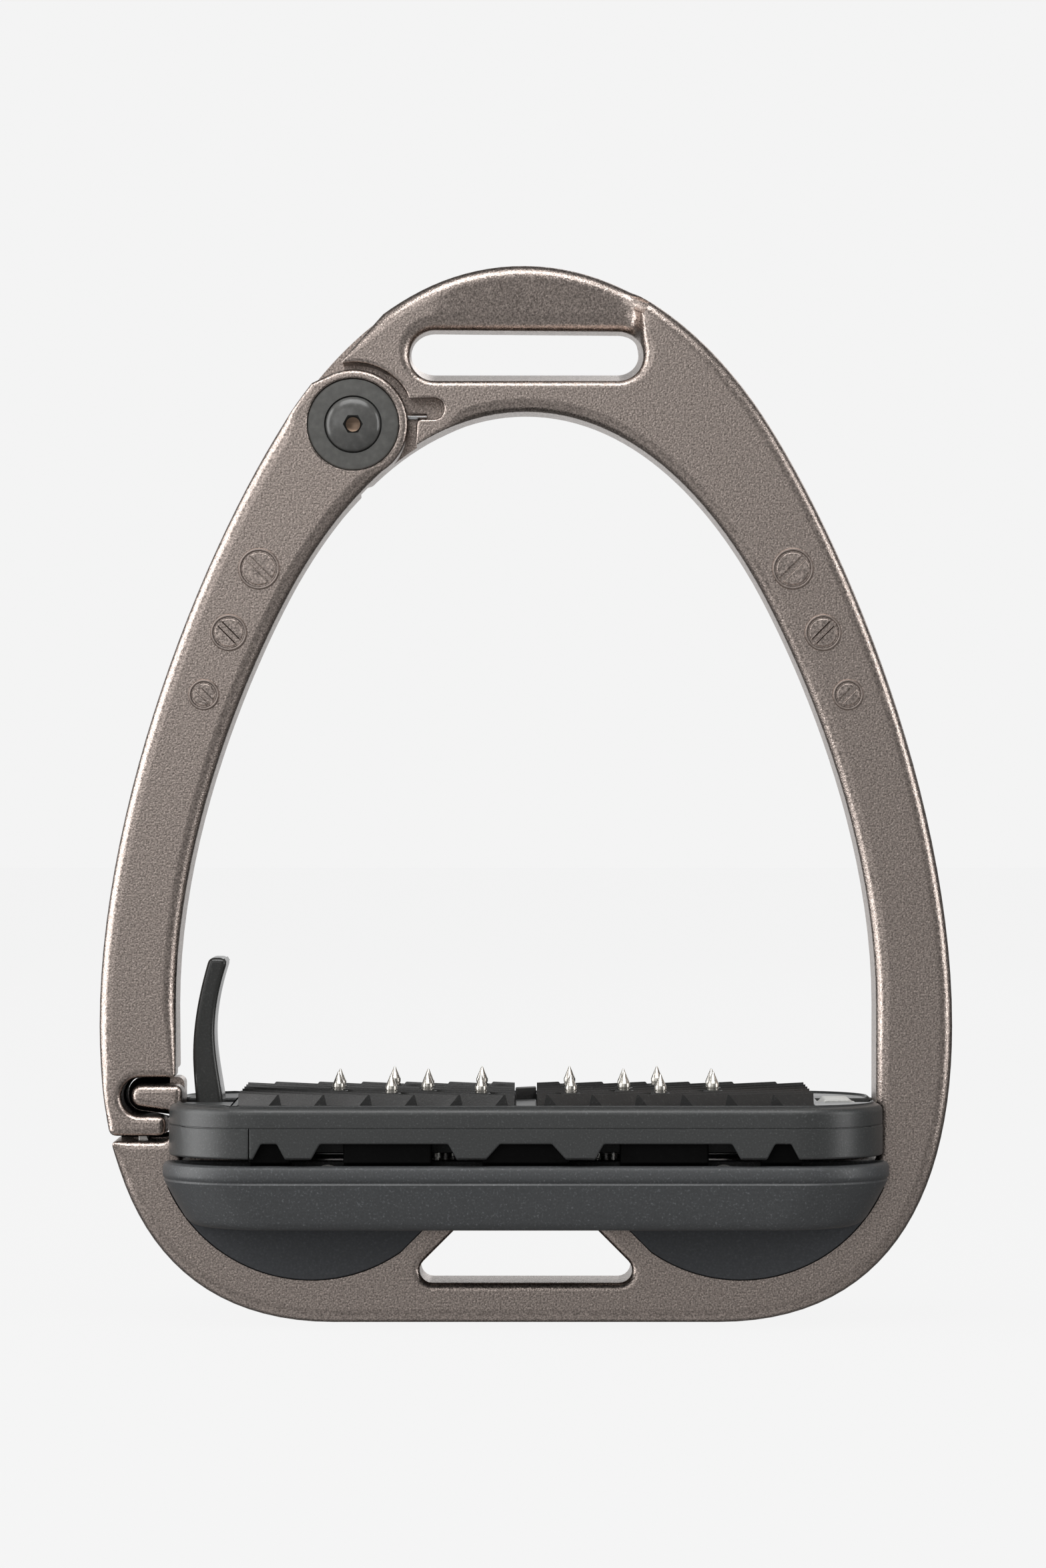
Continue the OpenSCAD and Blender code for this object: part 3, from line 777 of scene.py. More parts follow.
def half_moon(front, rear, shrink=0.0):
    """Half-moon beside the window on the right, as a tool or as the start of its insert."""
    centre = (37.0, 34.4)
    radius = 27.1 - shrink
    moon = prism_y(circle(centre, radius, 160), front, rear)
    low = 4.7 + shrink
    corners = [(14.7 + shrink * 1.4, 19 - shrink), (29, low), (70, low), (70, 23.5), (14.7, 23.5)]
    return keep(moon, prism_y([Vector(p) for p in corners], front - 1, rear + 1))


def pivot_distance(p):
    return (p - Vector(PIVOT)).length


def frame_rim(p):
    """Rim radii of the frame at a point of its outline."""
    if pivot_distance(p) < 11.3:
        return 0.7
    if p.x < -13 and 149.5 < p.y < 160:
        return 0.5
    if abs(p.x) < 21.5 and 161 < p.y < 172.5:
        return 1.1 + 1.4 * min(max((p.y - 163.0) / 8.0, 0), 1)
    if abs(p.x) < 22 and 5 < p.y < 20:
        return 1.3
    if abs(p.y - CROSSBAR_TOP) < 1 and abs(p.x) < 59:
        return 0.4
    if p.x < -57 and 31 < p.y < 43:
        return 1.3
    return 2.2


def behind_latch(rim):
    """The same rims, but nearly sharp round the latch, where wide ones would let light through."""
    def radius(p):
        return min(rim(p), 0.5) if p.x < -57 and 24 < p.y < 45 else rim(p)
    return radius


def frame_corner(p):
    """Corner radii of the frame's outline."""
    if p.x < -15 and 145 < p.y < 154:
        return 2.6
    if p.x < -65 and p.y < 33:
        return 2.6
    if pivot_distance(p) < 20:
        return 1.1
    return 1.5


def iron_solid():
    """The iron's whole outline as a flat solid."""
    return cut(prism_y(iron_outside(), 0, 1), prism_y(iron_inside(), -1, 2))


def iron_front():
    """Outlines of the frame's front half: the left branch and the hub's place are left out."""
    block_left = -18.9
    pocket_low, pocket_end, pocket_radius = 155.8, -15.9, 1.8
    pocket_middle = (pocket_end, pocket_low + pocket_radius)
    pocket_high = pocket_low + 2 * pocket_radius
    tip = (-29.1, 168.9)
    solid = cut(iron_solid(), eye_slot(), base_window(),
                block((-90, -1, STUB_TOP), (block_left, 2, pocket_low)), half_plane(190, reach=50.0),
                disc_tool(PIVOT, HUB_RADIUS + 1.2, 56),
                block((PIVOT_X, -1, pocket_low), (pocket_end, 2, pocket_high)),
                disc_tool(pocket_middle, pocket_radius, 40), half_plane(139, at=tip, reach=10.0))
    return outlines(join(solid, latch_tongue(0)), frame_corner)


def iron_rear():
    """Outlines of the frame's rear half, which keeps an ear round the pivot."""
    zone = cut(half_plane(215), block((-150, -2, -100), (50, 3, STUB_TOP)),
               prism_y(circle(PIVOT, EAR_RADIUS, 56), -2, 3))
    solid = cut(iron_solid(), eye_slot(), base_window(), zone)
    return outlines(join(solid, latch_tongue(TONGUE_STEP)), frame_corner)


def rear_relief(p):
    return relief(Vector((-p.x, p.y)))


def build_frame():
    front, rear = -HALF_THICK, HALF_THICK
    points = relief_points()
    body = slab(iron_front(), front, 0, frame_rim, None, relief, flat, points)
    back = slab(iron_rear(), 0, rear, None, behind_latch(frame_rim), flat, rear_relief, points)
    for half in (body, back):
        for vert in half.data.vertices:
            dx, dz = drift(vert.co)
            vert.co.x += dx
            vert.co.z += dz
    join(body, back)
    moons = []
    for y0, y1 in ((front - 1, front + CHEEK_DEPTH), (rear - CHEEK_DEPTH, rear + 1)):
        moon = half_moon(y0, y1)
        moons += [moon, flipped_copy(moon, "x")]
    cut(body, block((-68.4, -4.4, 28.1), (-57.8, 4.4, 32.5)), *moons)
    lugs = [block((LEVER_X - 3.4, y, CROSSBAR_TOP - 1), (LEVER_X + 3.4, y + 2, CROSSBAR_TOP + 5.9))
            for y in (front + 0.5, rear - 2.5)]
    join(body, *lugs)
    piece(body, "iron_frame", "iron", "anodised_alloy", ALLOY, "frame")


# ---- side arm ----

def arm_solid(end_angle, more):
    """The arm's outline as a flat solid without its hub: more widens the hook round the tongue."""
    hook_x, hook_z = LATCH_CENTRE
    radius = HOOK_RADIUS + more
    low, high = hook_z - radius, hook_z + radius
    return cut(iron_solid(), half_plane(end_angle, reach=200.0),
               block((0, -1, -10), (100, 2, 200)), block((-100, -1, -10), (10, 2, ARM_FOOT)),
               disc_tool(LATCH_CENTRE, radius, 40), block((hook_x, -1, low), (-50, 2, high)),
               block((HOOK_END, -1, 20), (-50, 2, high)))


def arm_rim(p):
    """Rim radii of the arm at a point of its outline. The hub's own rim is nearly sharp."""
    out = p - Vector(PIVOT)
    for reach, angle in ((9.8, 50), (11.5, 60)):
        if out.length < reach and out.dot(direction(angle)) > -6.0:
            return 0.9
    if p.y < ARM_FOOT + 1.5 or (p.y < 43 and p.x > -70.5):
        return 1.2
    return 2.2


def arm_corner(p):
    if pivot_distance(p) < 20:
        return 0.8
    return 2.6 if p.x < -69 or p.x > -62 else 1.5


def hub_seat():
    """Tool for the cap's seat in the hub, with a small chamfer at the face."""
    face = -HALF_THICK
    radius, floor = 8.0, -5.6
    mouth = radius + 0.25
    profile = [(0, face - 1), (mouth, face - 1), (mouth, face)]
    profile += [(radius, face + 0.25), (radius, floor), (0, floor)]
    return turned("seat", profile, (PIVOT_X, 0, PIVOT_Z), "y", 96)


def build_arm():
    centre = Vector(PIVOT)
    # The arm's outer edge meets the hub on a tangent, from where it crosses this ray
    shoulder, reach = 135, 10.07
    tangent = shoulder - math.degrees(math.acos(HUB_RADIUS / reach))
    filler = [centre, centre + direction(tangent) * HUB_RADIUS, centre + direction(shoulder) * reach]
    boss = prism_y(circle(PIVOT, HUB_RADIUS, 64), 0, 1)
    hub = join(arm_solid(shoulder - 90, 0), boss, prism_y(filler, 0, 1))
    arm = slab(outlines(hub, arm_corner), -HALF_THICK, -LAP_GAP, arm_rim, None, flat, flat)
    round_ear = disc_tool(PIVOT, EAR_RADIUS + 0.4, 56)
    back = cut(arm_solid(60, TONGUE_STEP), half_plane(92), half_plane(5), round_ear)
    rear_rim = behind_latch(arm_rim)
    join(arm, slab(outlines(back, arm_corner), -LAP_GAP, HALF_THICK, None, rear_rim, flat, flat))
    bore, spring_well = 4.06, 6.6
    leg_window = [centre] + arc(PIVOT, 12, -2, 86, 16)
    cut(arm, hub_seat(), prism_y(circle(PIVOT, bore), -HALF_THICK - 1, 1),
        prism_y(circle(PIVOT, spring_well), -4.6, 1), prism_y(leg_window, -2.1, 1))
    piece(arm, "iron_side_arm", "arm", "anodised_alloy", ALLOY, "side_arm")


def build_latch_painted_shade():
    """Near-black pieces that paint shade into the latch's deep gaps: a lining in the hook, a thin sheet on
    the tongue's step and a block on the stub.
    """
    mouth, ledge, jaw, wall = -62.3, 42.2, 34.85, 4.4
    outline = [Vector((mouth, ledge)), Vector((-66.4, ledge))] + arc(LATCH_CENTRE, 3.0, 115, 245, 14)
    outline += [Vector((mouth, jaw)), Vector((mouth, 34.5))] + arc(LATCH_CENTRE, wall, 265, 95, 18)
    outline.append(Vector((mouth, 43.4)))
    lining = prism_y(outline, 0.6, HALF_THICK - 0.7)
    facing = latch_tongue(TONGUE_STEP - 0.05)
    facing.data.transform(Matrix.Diagonal((1, 0.2, 1, 1)))
    facing.data.transform(Matrix.Translation((0, -0.2, 0)))
    keep(facing, block((-72, -1, 31), (-61.8, 1, 45)))
    pad = block((-70.6, 5.2, STUB_TOP - 0.4), (-59.8, 7.6, ARM_FOOT - 0.12))
    # These rounded pieces are painted shade, not a real rubber buffer: they darken gaps where only shade
    # falls
    for rubber in (lining, pad):
        round_edges(rubber, lambda p: 0.1, 0.1, 2)
    # Painted shade: the dark elastomer finish stands in for the shade inside the latch's gaps
    piece(lining, "latch_hook_painted_shade", "arm", "elastomer", ELASTOMER)
    piece(facing, "latch_tongue_painted_shade", "iron", "elastomer", ELASTOMER)
    piece(pad, "latch_stub_painted_shade", "iron", "elastomer", ELASTOMER)


def screw_rim(p):
    """The screw's rims are rounded, but not those of its socket."""
    return 0.14 if pivot_distance(Vector((p.x, p.z))) > 3 else 0.0


def build_pivot():
    at = (PIVOT_X, 0, PIVOT_Z)
    cap = turned("cap", [(0, -5.7), (7.6, -5.7), (7.92, -6.0), (7.92, -8.35), (7.84, -8.55), (7.6, -8.7),
                         (5.06, -8.7), (4.98, -8.67), (4.93, -8.55), (4.93, -7.2), (0, -7.2)], at, "y")
    piece(cap, "hub_cap_disc", "iron", "black_cap", CAP, "hub_cap")
    radius = 4.75
    dome = [(radius * math.cos(math.radians(a * 0.88)), -8.45 - 1.4 * math.sin(math.radians(a)))
            for a in range(0, 96, 8)]
    head = [(0, -7.1), (radius, -7.1)] + dome + [(0, -9.85)]
    screw = turned("screw", head, at, "y")
    socket = turned("socket", [(0, -11), (1.75, -11), (1.75, -8.3), (0, -7.6)], at, "y", count=6)
    cut(screw, socket)
    round_edges(screw, screw_rim, 0.14, 2)
    piece(screw, "pivot_button_screw", "iron", "black_steel", BLACK_STEEL, "pivot_screw")
    lining = turned("lining", [(0, -8.1), (1.25, -8.6), (1.25, -8.15), (0, -7.55)], at, "y", count=24)
    piece(lining, "pivot_screw_socket", "iron", "stainless_steel", SOCKET)


def build_torsion_spring():
    """Three close turns round the bush, and a leg out to the crown's pocket."""
    radius, wire, turns = 5.4, 1.15, 3.0
    front_y, leg_y, leg_z = -3.49, -1.3, 1.7
    end_angle = math.degrees(math.asin(leg_z / radius))
    path = []
    steps = 96
    for i in range(steps + 1):
        t = i / steps
        angle = math.radians(end_angle + 360 * turns * (1 - t))
        path.append((PIVOT_X + radius * math.cos(angle), front_y + (leg_y - front_y) * t,
                     PIVOT_Z + radius * math.sin(angle)))
    path.append((-17.2, leg_y, PIVOT_Z + leg_z))
    spring = tube("spring", path, wire / 2)
    piece(spring, "arm_torsion_spring", "iron", "bright_spring_wire", WIRE, "torsion_spring")


ROUNDELS = [((46.0, 130.0), 3.5), ((51.2, 119.0), 3.1), ((55.5, 108.3), 2.6)]


def roundel(centre, radius, slot_angle):
    """Raised ring round a disc that a slot divides in two."""
    x, z = centre
    face = -HALF_THICK
    count = 56
    # Inset from the radius and height of each row of the ring
    ring = [(0.46, 0.3), (0.44, -0.25), (0.34, -0.45), (0.2, -0.5),
            (0.04, -0.45), (-0.08, -0.25), (-0.10, 0.3)]
    turns = [2 * math.pi * i / count for i in range(count)]
    rows = []
    for inset, h in ring:
        r = radius - inset
        rows.append([Vector((x + r * math.cos(turn), face + h, z + r * math.sin(turn))) for turn in turns])
    rows.append(rows[0])
    rim = loft("ring", rows, caps=False)
    disc = prism_y(circle(centre, radius - 0.70, count), face - 0.45, face + 0.3)
    along = direction(slot_angle)
    across = Vector((-along.y, along.x)) * 0.42
    along = along * 6
    corners = (along + across, across - along, -along - across, along - across)
    slot = [Vector(centre) + corner for corner in corners]
    cut(disc, prism_y(slot, face - 2, face + 2))
    round_edges(disc, lambda p: 0.2 if p.y < face - 0.4 else 0.0, 0.2, 3)
    return rim, disc


def build_roundels():
    for side, body, slot_angle in ((1, "iron", 45), (-1, "arm", 135)):
        for index, ((x, z), radius) in enumerate(ROUNDELS):
            rim, disc = roundel((side * x, z), radius, slot_angle)
            word = "right" if side > 0 else "left"
            piece(rim, f"roundel_ring_{word}_{index}", body, "anodised_alloy", SMOOTH_ALLOY)
            piece(disc, f"roundel_disc_{word}_{index}", body, "anodised_alloy", ALLOY)


# ---- release lever ----

def build_lever():
    top = 62.9
    left = cubic((-54.7, top), (-56.5, 57), (-57.6, 51), (-57.5, 45.5), 14)
    left += cubic((-57.5, 45.5), (-57.4, 42), (-57.1, 39.5), (-56.7, 36), 8)
    left.append(Vector((-56.7, 31.5)))
    right = [Vector((-52.2, 31.5))]
    right += cubic((-52.2, 36), (-52.3, 40), (-53.8, 45), (-53.8, 50), 10)
    right += cubic((-53.8, 50), (-53.8, 54), (-53, 58), (-51.6, top - 0.8), 10)
    right += [Vector((-51.6, top - 0.8)), Vector((-52.1, top))]
    half = LEVER_WIDTH / 2
    lever = prism_y(left + right, -half, half)
    foot = 4.4
    cut(lever, block((-60, -7, 26), (-49, -foot, 35.2)), block((-60, foot, 26), (-49, 7, 35.2)))
    join(lever, prism_y(circle((LEVER_X, LEVER_Z), 3, 40), -foot, foot))
    cut(lever, prism_y(circle((LEVER_X, LEVER_Z), 1.26, 32), -10, 10))
    round_edges(lever, lambda p: 0.85 if p.z > 35.5 else 0.0, 0.85, 4)
    piece(lever, "quick_release_lever", "lever", "satin_black_plastic", SATIN_BLACK, "release_lever")


# ---- footbed: plate, cover, inserts, studs ----

def bed_row(z, inset):
    plan = bed_plan(PLATE_HALF_LENGTH - inset, BED_HALF_DEPTH - inset, 16 - inset, 18 - inset)
    return [(p.x, p.y, z) for p in plan]


def bed_solid():
    """Outside of the plate: rounded upper edge, fine parting line under the deck, plain skirt."""
    radius = 1.25
    rows = [bed_row(SKIRT_BOTTOM + z, inset) for z, inset in ((0, 0.35), (0.12, 0.12), (0.4, 0.02))]
    rows += [bed_row(DECK_BOTTOM + z, inset) for z, inset in
             ((-0.16, 0.0), (-0.04, 0.16), (0.06, 0.16), (0.14, 0.06), (1.0, 0.06))]
    for i in range(7):
        angle = math.radians(90 * i / 6)
        z = TREAD_TOP - radius + radius * math.sin(angle)
        rows.append(bed_row(z, 0.06 + radius * (1 - math.cos(angle))))
    for inset, rise in ((1.45, 0.0), (1.50, 0.14), (1.62, 0.26), (1.78, 0.28), (1.92, 0.2), (2.02, 0.0)):
        rows.append(bed_row(TREAD_TOP + rise, inset))
    return loft("bed", rows)


def skirt_notch(x0, x1, lean):
    corners = [(x0, SKIRT_BOTTOM - 1, 0), (x0, SKIRT_BOTTOM, 0), (x0 + lean, NOTCH_TOP, 0.5),
               (x1 - lean, NOTCH_TOP, 0.5), (x1, SKIRT_BOTTOM, 0), (x1, SKIRT_BOTTOM - 1, 0)]
    return prism_y(rounded(corners, 4), -BED_HALF_DEPTH - 1, BED_HALF_DEPTH + 1)


def bed_shell():
    shell = bed_solid()
    inner = bed_plan(PLATE_HALF_LENGTH - 2, BED_HALF_DEPTH - 2, 14, 16)
    gap = HALF_THICK + 0.3
    tools = [prism_z(inner, SKIRT_BOTTOM - 1, DECK_BOTTOM), skirt_notch(-6.8, 6.8, 2.4),
             block((HALF_OPENING - 0.4, -gap, 20), (75, gap, 45)),
             block((-75, -gap, 20), (-58.9, gap, 45))]
    for sign in (1, -1):
        for x0, x1, lean in ((11.7, 36.4, 1.5), (40.8, 46.3, 1.4)):
            low, high = sorted((sign * x0, sign * x1))
            tools.append(skirt_notch(low, high, lean))
        low, high = sorted((sign * 50.6, sign * 60.6))
        tools.append(block((low, -LEVER_WIDTH / 2 - 0.5, 20), (high, LEVER_WIDTH / 2 + 0.5, 45)))
    cut(shell, *tools)
    return shell


def deck_rib(side):
    """Rib along the deck's underside, between the crossbar and the pads."""
    return block((-49.5, side * 13 - 1, SKIRT_BOTTOM + 0.35), (49.5, side * 13 + 1, DECK_BOTTOM + 0.5))


def cover_zone(gap):
    deck_seam, skirt_seam = -50.2, -47.0
    edge = BED_HALF_DEPTH - 3 - gap
    top = DECK_BOTTOM + 0.06
    zone = block((-90, -50, 15), (deck_seam, 50, 60))
    return join(zone, block((-90, -50, 15), (skirt_seam + gap, -edge, top)),
                block((-90, edge, 15), (skirt_seam + gap, 50, top)))


def bed_edge(p):
    """Small radii at the notches, seams and openings of the plate."""
    if abs(p.z - DECK_BOTTOM) < 0.3 and abs(p.y) > 20:
        return 0.0
    if abs(p.x + 50.2) < 0.3:
        return 0.0
    if p.z > TREAD_TOP - 0.1:
        return 0.35
    if p.z < NOTCH_TOP + 0.2 and abs(p.y) > BED_HALF_DEPTH - 0.8:
        return 0.3
    return 0.12


INSERT_X0, INSERT_X1, INSERT_HALF_DEPTH = 1.9, 49.2, 24.2
RIDGE_HEIGHT, RIDGE_PITCH = 2.1, 7.7


def build_bed():
    plate = bed_shell()
    cover = keep(place_new("cover", plate.data.copy()), cover_zone(0))
    beds = [block((sign * INSERT_X0, -INSERT_HALF_DEPTH, TREAD_TOP - 0.6),
                  (sign * INSERT_X1, INSERT_HALF_DEPTH, TREAD_TOP + 2)) for sign in (1, -1)]
    cut(plate, cover_zone(0.12), *beds)
    join(plate, deck_rib(-1), deck_rib(1))
    round_edges(plate, bed_edge, 0.35, 3)
    round_edges(cover, bed_edge, 0.35, 3)
    piece(plate, "footbed_plate", "tread", "satin_black_plastic", TREAD_BLACK, "tread_plate")
    piece(cover, "footbed_lever_cover", "tread", "satin_black_plastic", TREAD_BLACK, "lever_end_cover")


STUD_ROWS = [(7.7, -15.0), (17.0, -5.5), (17.0, 5.5), (7.7, 15.0)]
STUD_PITCH = 15.35
STUD_RADIUS = 1.02


def stud_places(sign):
    return [(sign * (x + k * STUD_PITCH), y) for x, y in STUD_ROWS for k in range(2)]


def ridge(start_x):
    """Saw-tooth ridge that runs back and outwards at 45 degrees."""
    profile = [(0, -0.3), (0.05, 0.1), (0.36, RIDGE_HEIGHT - 0.1), (0.46, RIDGE_HEIGHT),
               (0.58, RIDGE_HEIGHT - 0.06), (1.75, 0), (1.75, -0.3)]
    across, along = Vector((1, -1)) / math.sqrt(2), Vector((1, 1)) / math.sqrt(2)
    rows = []
    for reach in (-10.0, 90.0):
        foot = Vector((start_x, -INSERT_HALF_DEPTH)) + along * reach
        row = [(foot.x + across.x * u, foot.y + across.y * u, TREAD_TOP - 0.02 + h) for u, h in profile]
        rows.append(row)
    return loft("ridge", rows)


def collar(x, y):
    """Rubber collar round a stud, notched four times."""
    profile = [(1.06, -0.4), (1.72, -0.4), (1.76, 1.55), (1.66, 1.9), (1.42, 2.0), (1.06, 1.7)]
    rows = []
    count = 48
    for r, h in profile:
        row = []
        for i in range(count):
            notch = 1.0 - (0.13 if h > 1.0 and i % 12 in (0, 1, 2) else 0.0)
            angle = 2 * math.pi * (i - 1) / count + 0.5
            row.append((x + r * notch * math.cos(angle), y + r * notch * math.sin(angle), TREAD_TOP + h))
        rows.append(row)
    rows.append(rows[0])
    return loft("collar", rows, caps=False)


def build_insert(word, sign):
    low = (INSERT_X0 + 0.05, -INSERT_HALF_DEPTH + 0.05, TREAD_TOP - 0.58)
    high = (INSERT_X1 - 0.05, INSERT_HALF_DEPTH - 0.05, TREAD_TOP + 0.02)
    base = block(low, high)
    first = -round(2 * INSERT_HALF_DEPTH / RIDGE_PITCH)
    last = math.ceil((INSERT_X1 - INSERT_X0) / RIDGE_PITCH)
    ridges = ridge(INSERT_X0 + 1 + first * RIDGE_PITCH)
    for i in range(first + 1, last + 1):
        join(ridges, ridge(INSERT_X0 + 1 + i * RIDGE_PITCH))
    keep(ridges, block((low[0], low[1], low[2] - 1), (high[0], high[1], TREAD_TOP + 4)))
    join(ridges, base)
    for x, y in stud_places(1):
        cut(ridges, turned("hole", [(1.7, 0.1), (1.7, 5)], (x, y, TREAD_TOP), count=32))
    if sign < 0:
        other = flipped_copy(ridges, "x")
        bpy.data.objects.remove(ridges)
        ridges = other
    piece(ridges, f"grip_insert_{word}", "tread", "grip_rubber", GRIP, f"tread_insert_{word}")
    for index, (x, y) in enumerate(stud_places(sign)):
        piece(collar(x, y), f"stud_collar_{word}_{index}", "tread", "grip_rubber", GRIP)


def build_centre_ridge():
    plan = [Vector(p) for p in ((-1.8, 1), (1.8, 4.6), (1.8, 9), (-1.8, 5.4))]
    centre = prism_z(plan, TREAD_TOP - 0.3, TREAD_TOP + 2.0)
    round_edges(centre, lambda p: 0.2 if p.z > TREAD_TOP else 0.0, 0.2, 2)
    piece(centre, "grip_centre_ridge", "tread", "grip_rubber", GRIP)


def stud(x, y):
    """Turned stud: a straight shank with two grooves, a shoulder and a pointed tip."""
    tip = STUD_TIP - TREAD_TOP
    r = STUD_RADIUS
    profile = [(0, -0.6), (r, -0.6), (r, 1.55), (r - 0.12, 1.6), (r - 0.12, 1.75), (r, 1.8), (r, 2.3),
               (r - 0.1, 2.36), (r - 0.1, 2.46), (r, 2.52), (r, tip - 2.1), (r - 0.06, tip - 2.0),
               (0.16, tip - 0.08), (0.08, tip)]
    return turned("stud", profile, (x, y, TREAD_TOP), count=40)


def build_studs(word, sign):
    first = None
    for x, y in stud_places(sign):
        one = stud(x, y)
        if first is None:
            first = one
        else:
            join_meshes(first, one)
    piece(first, f"traction_studs_{word}", "tread", "turned_stainless", TURNED, f"studs_{word}")


def join_meshes(obj, other):
    """Adds another object's mesh to this one, as it is."""
    store(mesh_of(obj, other), obj)
    bpy.data.objects.remove(other)


# ---- trays, pads, cheeks ----

def tray_row(z, share, inset, corner):
    """One level of the tray: share goes from 0 at its floor to 1 at the top of its slope."""
    half_length = TRAY_HALF_LENGTH - 4.6 * (1 - share) - inset
    half_depth = BED_HALF_DEPTH - 1.4 * (1 - share) - inset
    return [(p.x, p.y, z) for p in bed_plan(half_length, half_depth, 16 - corner, 18 - corner)]


def tray_half():
    """Front tray: sloping side, a crease, and a rolled bead along the rim."""
    # Height, share of the slope, inset and corner of each level
    levels = [(TRAY_BOTTOM, 0, 1.5, 1.5), (TRAY_BOTTOM + 0.2, 0, 0.75, 0.7),
              (TRAY_BOTTOM + 0.65, 0.06, 0.22, 0.2), (TRAY_BOTTOM + 1.4, 0.16, 0, 0), (21.3, 0.52, 0, 0),
              (24.9, 0.96, 0.06, 0), (25.25, 0.985, 0.32, 0.3), (25.6, 1, 0.10, 0.1), (26.1, 1, 0, 0),
              (27.2, 1, 0.04, 0), (27.75, 1, 0.26, 0.2), (28.03, 1, 0.62, 0.6), (TRAY_TOP, 1, 1.05, 1)]
    hollow = [(TRAY_BOTTOM + 2.2, 0, 2.2, 2), (25.1, 1, 2.2, 2), (TRAY_TOP + 1, 1, 2.2, 2)]
    tray = loft("tray", [tray_row(*level) for level in levels])
    inner = loft("inner", [tray_row(*level) for level in hollow])
    cut(inner, block((-80, -HALF_THICK - 2, 0), (80, 80, 60)))
    cut(tray, inner, block((-80, -HALF_THICK, 0), (80, 80, 60)))
    front = -HALF_THICK - 0.3
    return round_edges(tray, lambda p: 0.35 if p.z > TRAY_TOP - 0.2 and p.y < front else 0.0, 0.35, 2)


def build_trays():
    front = tray_half()
    rear = flipped_copy(front, "y")
    piece(front, "footbed_tray_front", "iron", "slate_black_plastic", SLATE, "tray_front")
    piece(rear, "footbed_tray_rear", "iron", "slate_black_plastic", SLATE, "tray_rear")


def build_cheeks():
    for word, y0, y1 in (("front", -HALF_THICK + 0.08, CHEEK_DEPTH - HALF_THICK),
                         ("rear", HALF_THICK - CHEEK_DEPTH, HALF_THICK - 0.08)):
        moon = half_moon(y0, y1, shrink=0.09)
        round_edges(moon, lambda p: 0.3 if abs(p.y) > HALF_THICK - 0.5 else 0.0, 0.3, 3)
        for obj, side in ((moon, "right"), (flipped_copy(moon, "x"), "left")):
            name = f"cheek_insert_{side}_{word}"
            piece(obj, name, "iron", "blue_black_plastic", BLUE_BLACK, f"cheek_{side}_{word}")


def node_copy(node):
    """Copy of a CAD node's mesh in millimetres, its coplanar triangles merged."""
    obj = place_new(node, frame["nodes"][node].data.copy())
    obj.data.transform(Matrix.Scale(1 / MM, 4))
    bm = mesh_of(obj)
    bmesh.ops.remove_doubles(bm, verts=bm.verts, dist=0.002)
    bmesh.ops.dissolve_limit(bm, angle_limit=math.radians(0.5), verts=bm.verts, edges=bm.edges)
    store(bm, obj)
    return obj


def softened(node, body, slot, material, radius, segments=3):
    """A CAD node's shape with its edges rounded."""
    obj = node_copy(node)
    round_edges(obj, lambda p: radius, radius, segments)
    return piece(obj, f"{node}_moulded", body, slot, material, node)


def build_small_parts():
    softened("slot_plug", "tread", "light_grey_plastic", LIGHT_GREY, 0.3)
    softened("catch_blade", "lever", "stainless_steel", STAINLESS, 0.12, 2)
    for place in ("centre", "inner_left", "inner_right", "outer_left", "outer_right"):
        for word in ("front", "rear"):
            softened(f"pad_{place}_{word}", "iron", "elastomer", ELASTOMER, 0.4)


def paint_carried_nodes():
    """Gives each CAD node that stays its finish."""
    finishes = {"pivot_sleeve": STAINLESS, "pivot_washer": NYLON, "lever_pin": STAINLESS,
                "lever_spring": WIRE, "shoulder_screws": STAINLESS, "tray_screws": STAINLESS}
    for node, material in finishes.items():
        obj = frame["nodes"][node]
        obj.data.materials.clear()
        obj.data.materials.append(material)


# ---- stage ----

def build_camera():
    data = bpy.data.cameras.new("camera")
    data.sensor_width = 36.0
    data.lens = 146.56
    data.clip_start = 0.05
    data.clip_end = 50
    camera = place_new("camera", data)
    camera.location = (-0.0005, -1.109, 0.0929)
    camera.rotation_euler = (math.radians(90), 0, 0)
    bpy.context.scene.camera = camera


PAPER = 0.904


def build_floor():
    """Pale paper floor that glows a little, so it stays even and takes only a soft contact shadow."""
    bm = bmesh.new()
    bmesh.ops.create_grid(bm, x_segments=8, y_segments=8, size=6.0)
    mesh = bpy.data.meshes.new("floor")
    bm.to_mesh(mesh)
    bm.free()
    floor = place_new("floor", mesh)
    floor.location = (0, 0, cad_low.z - 0.0002)
    material, _, _, surface = shader("paper")
    values = {"Base Color": (0.02, 0.02, 0.02, 1), "Roughness": 1.0, "Specular IOR Level": 0.0,
              "Emission Color": (1, 1, 1, 1), "Emission Strength": PAPER - 0.015}
    for socket, value in values.items():
        surface.inputs[socket].default_value = value
    mesh.materials.append(material)
    floor.visible_glossy = False
    floor.visible_diffuse = False


def add_light(name, place, size, power):
    """Soft rectangular light that faces the middle of the object."""
    data = bpy.data.lights.new(name, "AREA")
    data.shape = "RECTANGLE"
    data.size, data.size_y = size
    data.energy = power
    light = place_new(name, data)
    light.location = place
    aim = Vector((0, 0, 0.09)) - Vector(place)
    light.rotation_euler = aim.to_track_quat("-Z", "Y").to_euler()


def build_lights():
    add_light("softbox_left", (-1.2, -0.1, 0.35), (1.2, 1.3), 17)
    add_light("softbox_right", (1.2, -0.35, 0.35), (0.5, 0.9), 5)
    add_light("softbox_top", (0, -0.62, 1.2), (1.3, 0.7), 12.5)
    add_light("softbox_back", (0.7, 1.7, 0.9), (1.4, 1.0), 6)
    add_light("softbox_front", (-0.7, -2.1, 0.65), (1.5, 1.0), 5)


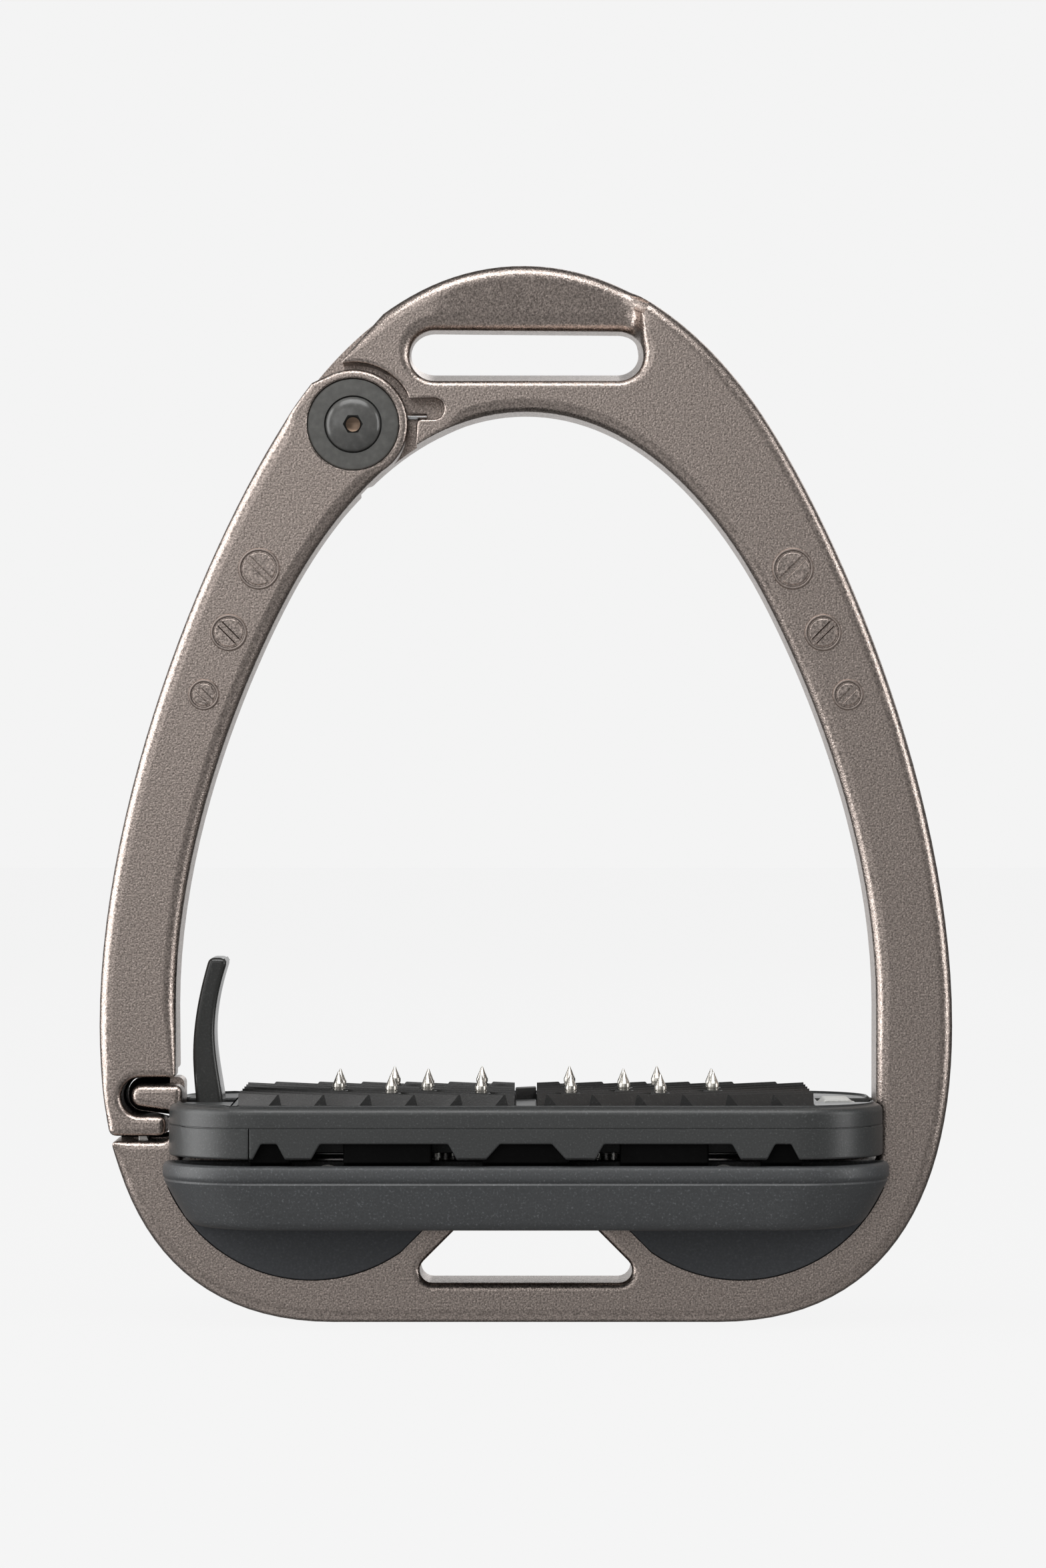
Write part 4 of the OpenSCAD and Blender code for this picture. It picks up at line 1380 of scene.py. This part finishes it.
def remapped(nodes, links, source, low, high):
    """A value between -1 and 1 as one between low and high."""
    node = nodes.new("ShaderNodeMapRange")
    for name, value in (("From Min", -1.0), ("From Max", 1.0), ("To Min", low), ("To Max", high)):
        node.inputs[name].default_value = value
    links.new(source, node.inputs["Value"])
    return node.outputs["Result"]


def build_world():
    """Pale behind the object for the camera; a dim studio for reflections."""
    world = bpy.data.worlds.new("studio")
    bpy.context.scene.world = world
    world.use_nodes = True
    nodes, links = world.node_tree.nodes, world.node_tree.links
    nodes.clear()
    output = nodes.new("ShaderNodeOutputWorld")
    mix = nodes.new("ShaderNodeMixShader")
    path = nodes.new("ShaderNodeLightPath")
    seen = nodes.new("ShaderNodeBackground")
    seen.inputs["Color"].default_value = (PAPER, PAPER, PAPER, 1)
    studio = nodes.new("ShaderNodeBackground")
    around = nodes.new("ShaderNodeTexCoord").outputs["Generated"]
    # Grey by direction from the front, over the sides, to the paper behind
    split = nodes.new("ShaderNodeSeparateXYZ")
    links.new(around, split.inputs["Vector"])
    levels = ramp(nodes, links, remapped(nodes, links, split.outputs["Y"], 0.0, 1.0),
                  [(0.0, grey(0.33)), (0.30, grey(0.36)), (0.60, grey(0.36)), (0.70, grey(0.10)),
                   (0.93, grey(0.08)), (0.972, grey(0.85)), (1.0, grey(0.85))])
    # The studio is brighter on the left and towards the floor
    side = nodes.new("ShaderNodeVectorMath")
    side.operation = "DOT_PRODUCT"
    side.inputs[1].default_value = (-0.32, 0, -0.28)
    links.new(around, side.inputs[0])
    tilt = nodes.new("ShaderNodeVectorMath")
    tilt.operation = "SCALE"
    links.new(levels, tilt.inputs[0])
    links.new(remapped(nodes, links, side.outputs["Value"], -0.05, 1.95), tilt.inputs["Scale"])
    links.new(tilt.outputs["Vector"], studio.inputs["Color"])
    links.new(path.outputs["Is Camera Ray"], mix.inputs["Fac"])
    links.new(studio.outputs["Background"], mix.inputs[1])
    links.new(seen.outputs["Background"], mix.inputs[2])
    links.new(mix.outputs["Shader"], output.inputs["Surface"])
    bpy.context.scene.view_settings.view_transform = "Standard"


build_frame()
build_arm()
build_latch_painted_shade()
build_pivot()
build_torsion_spring()
build_roundels()
build_lever()
build_bed()
for half, half_sign in (("right", 1), ("left", -1)):
    build_insert(half, half_sign)
    build_studs(half, half_sign)
build_centre_ridge()
build_trays()
build_cheeks()
build_small_parts()
paint_carried_nodes()
build_camera()
build_floor()
build_lights()
build_world()
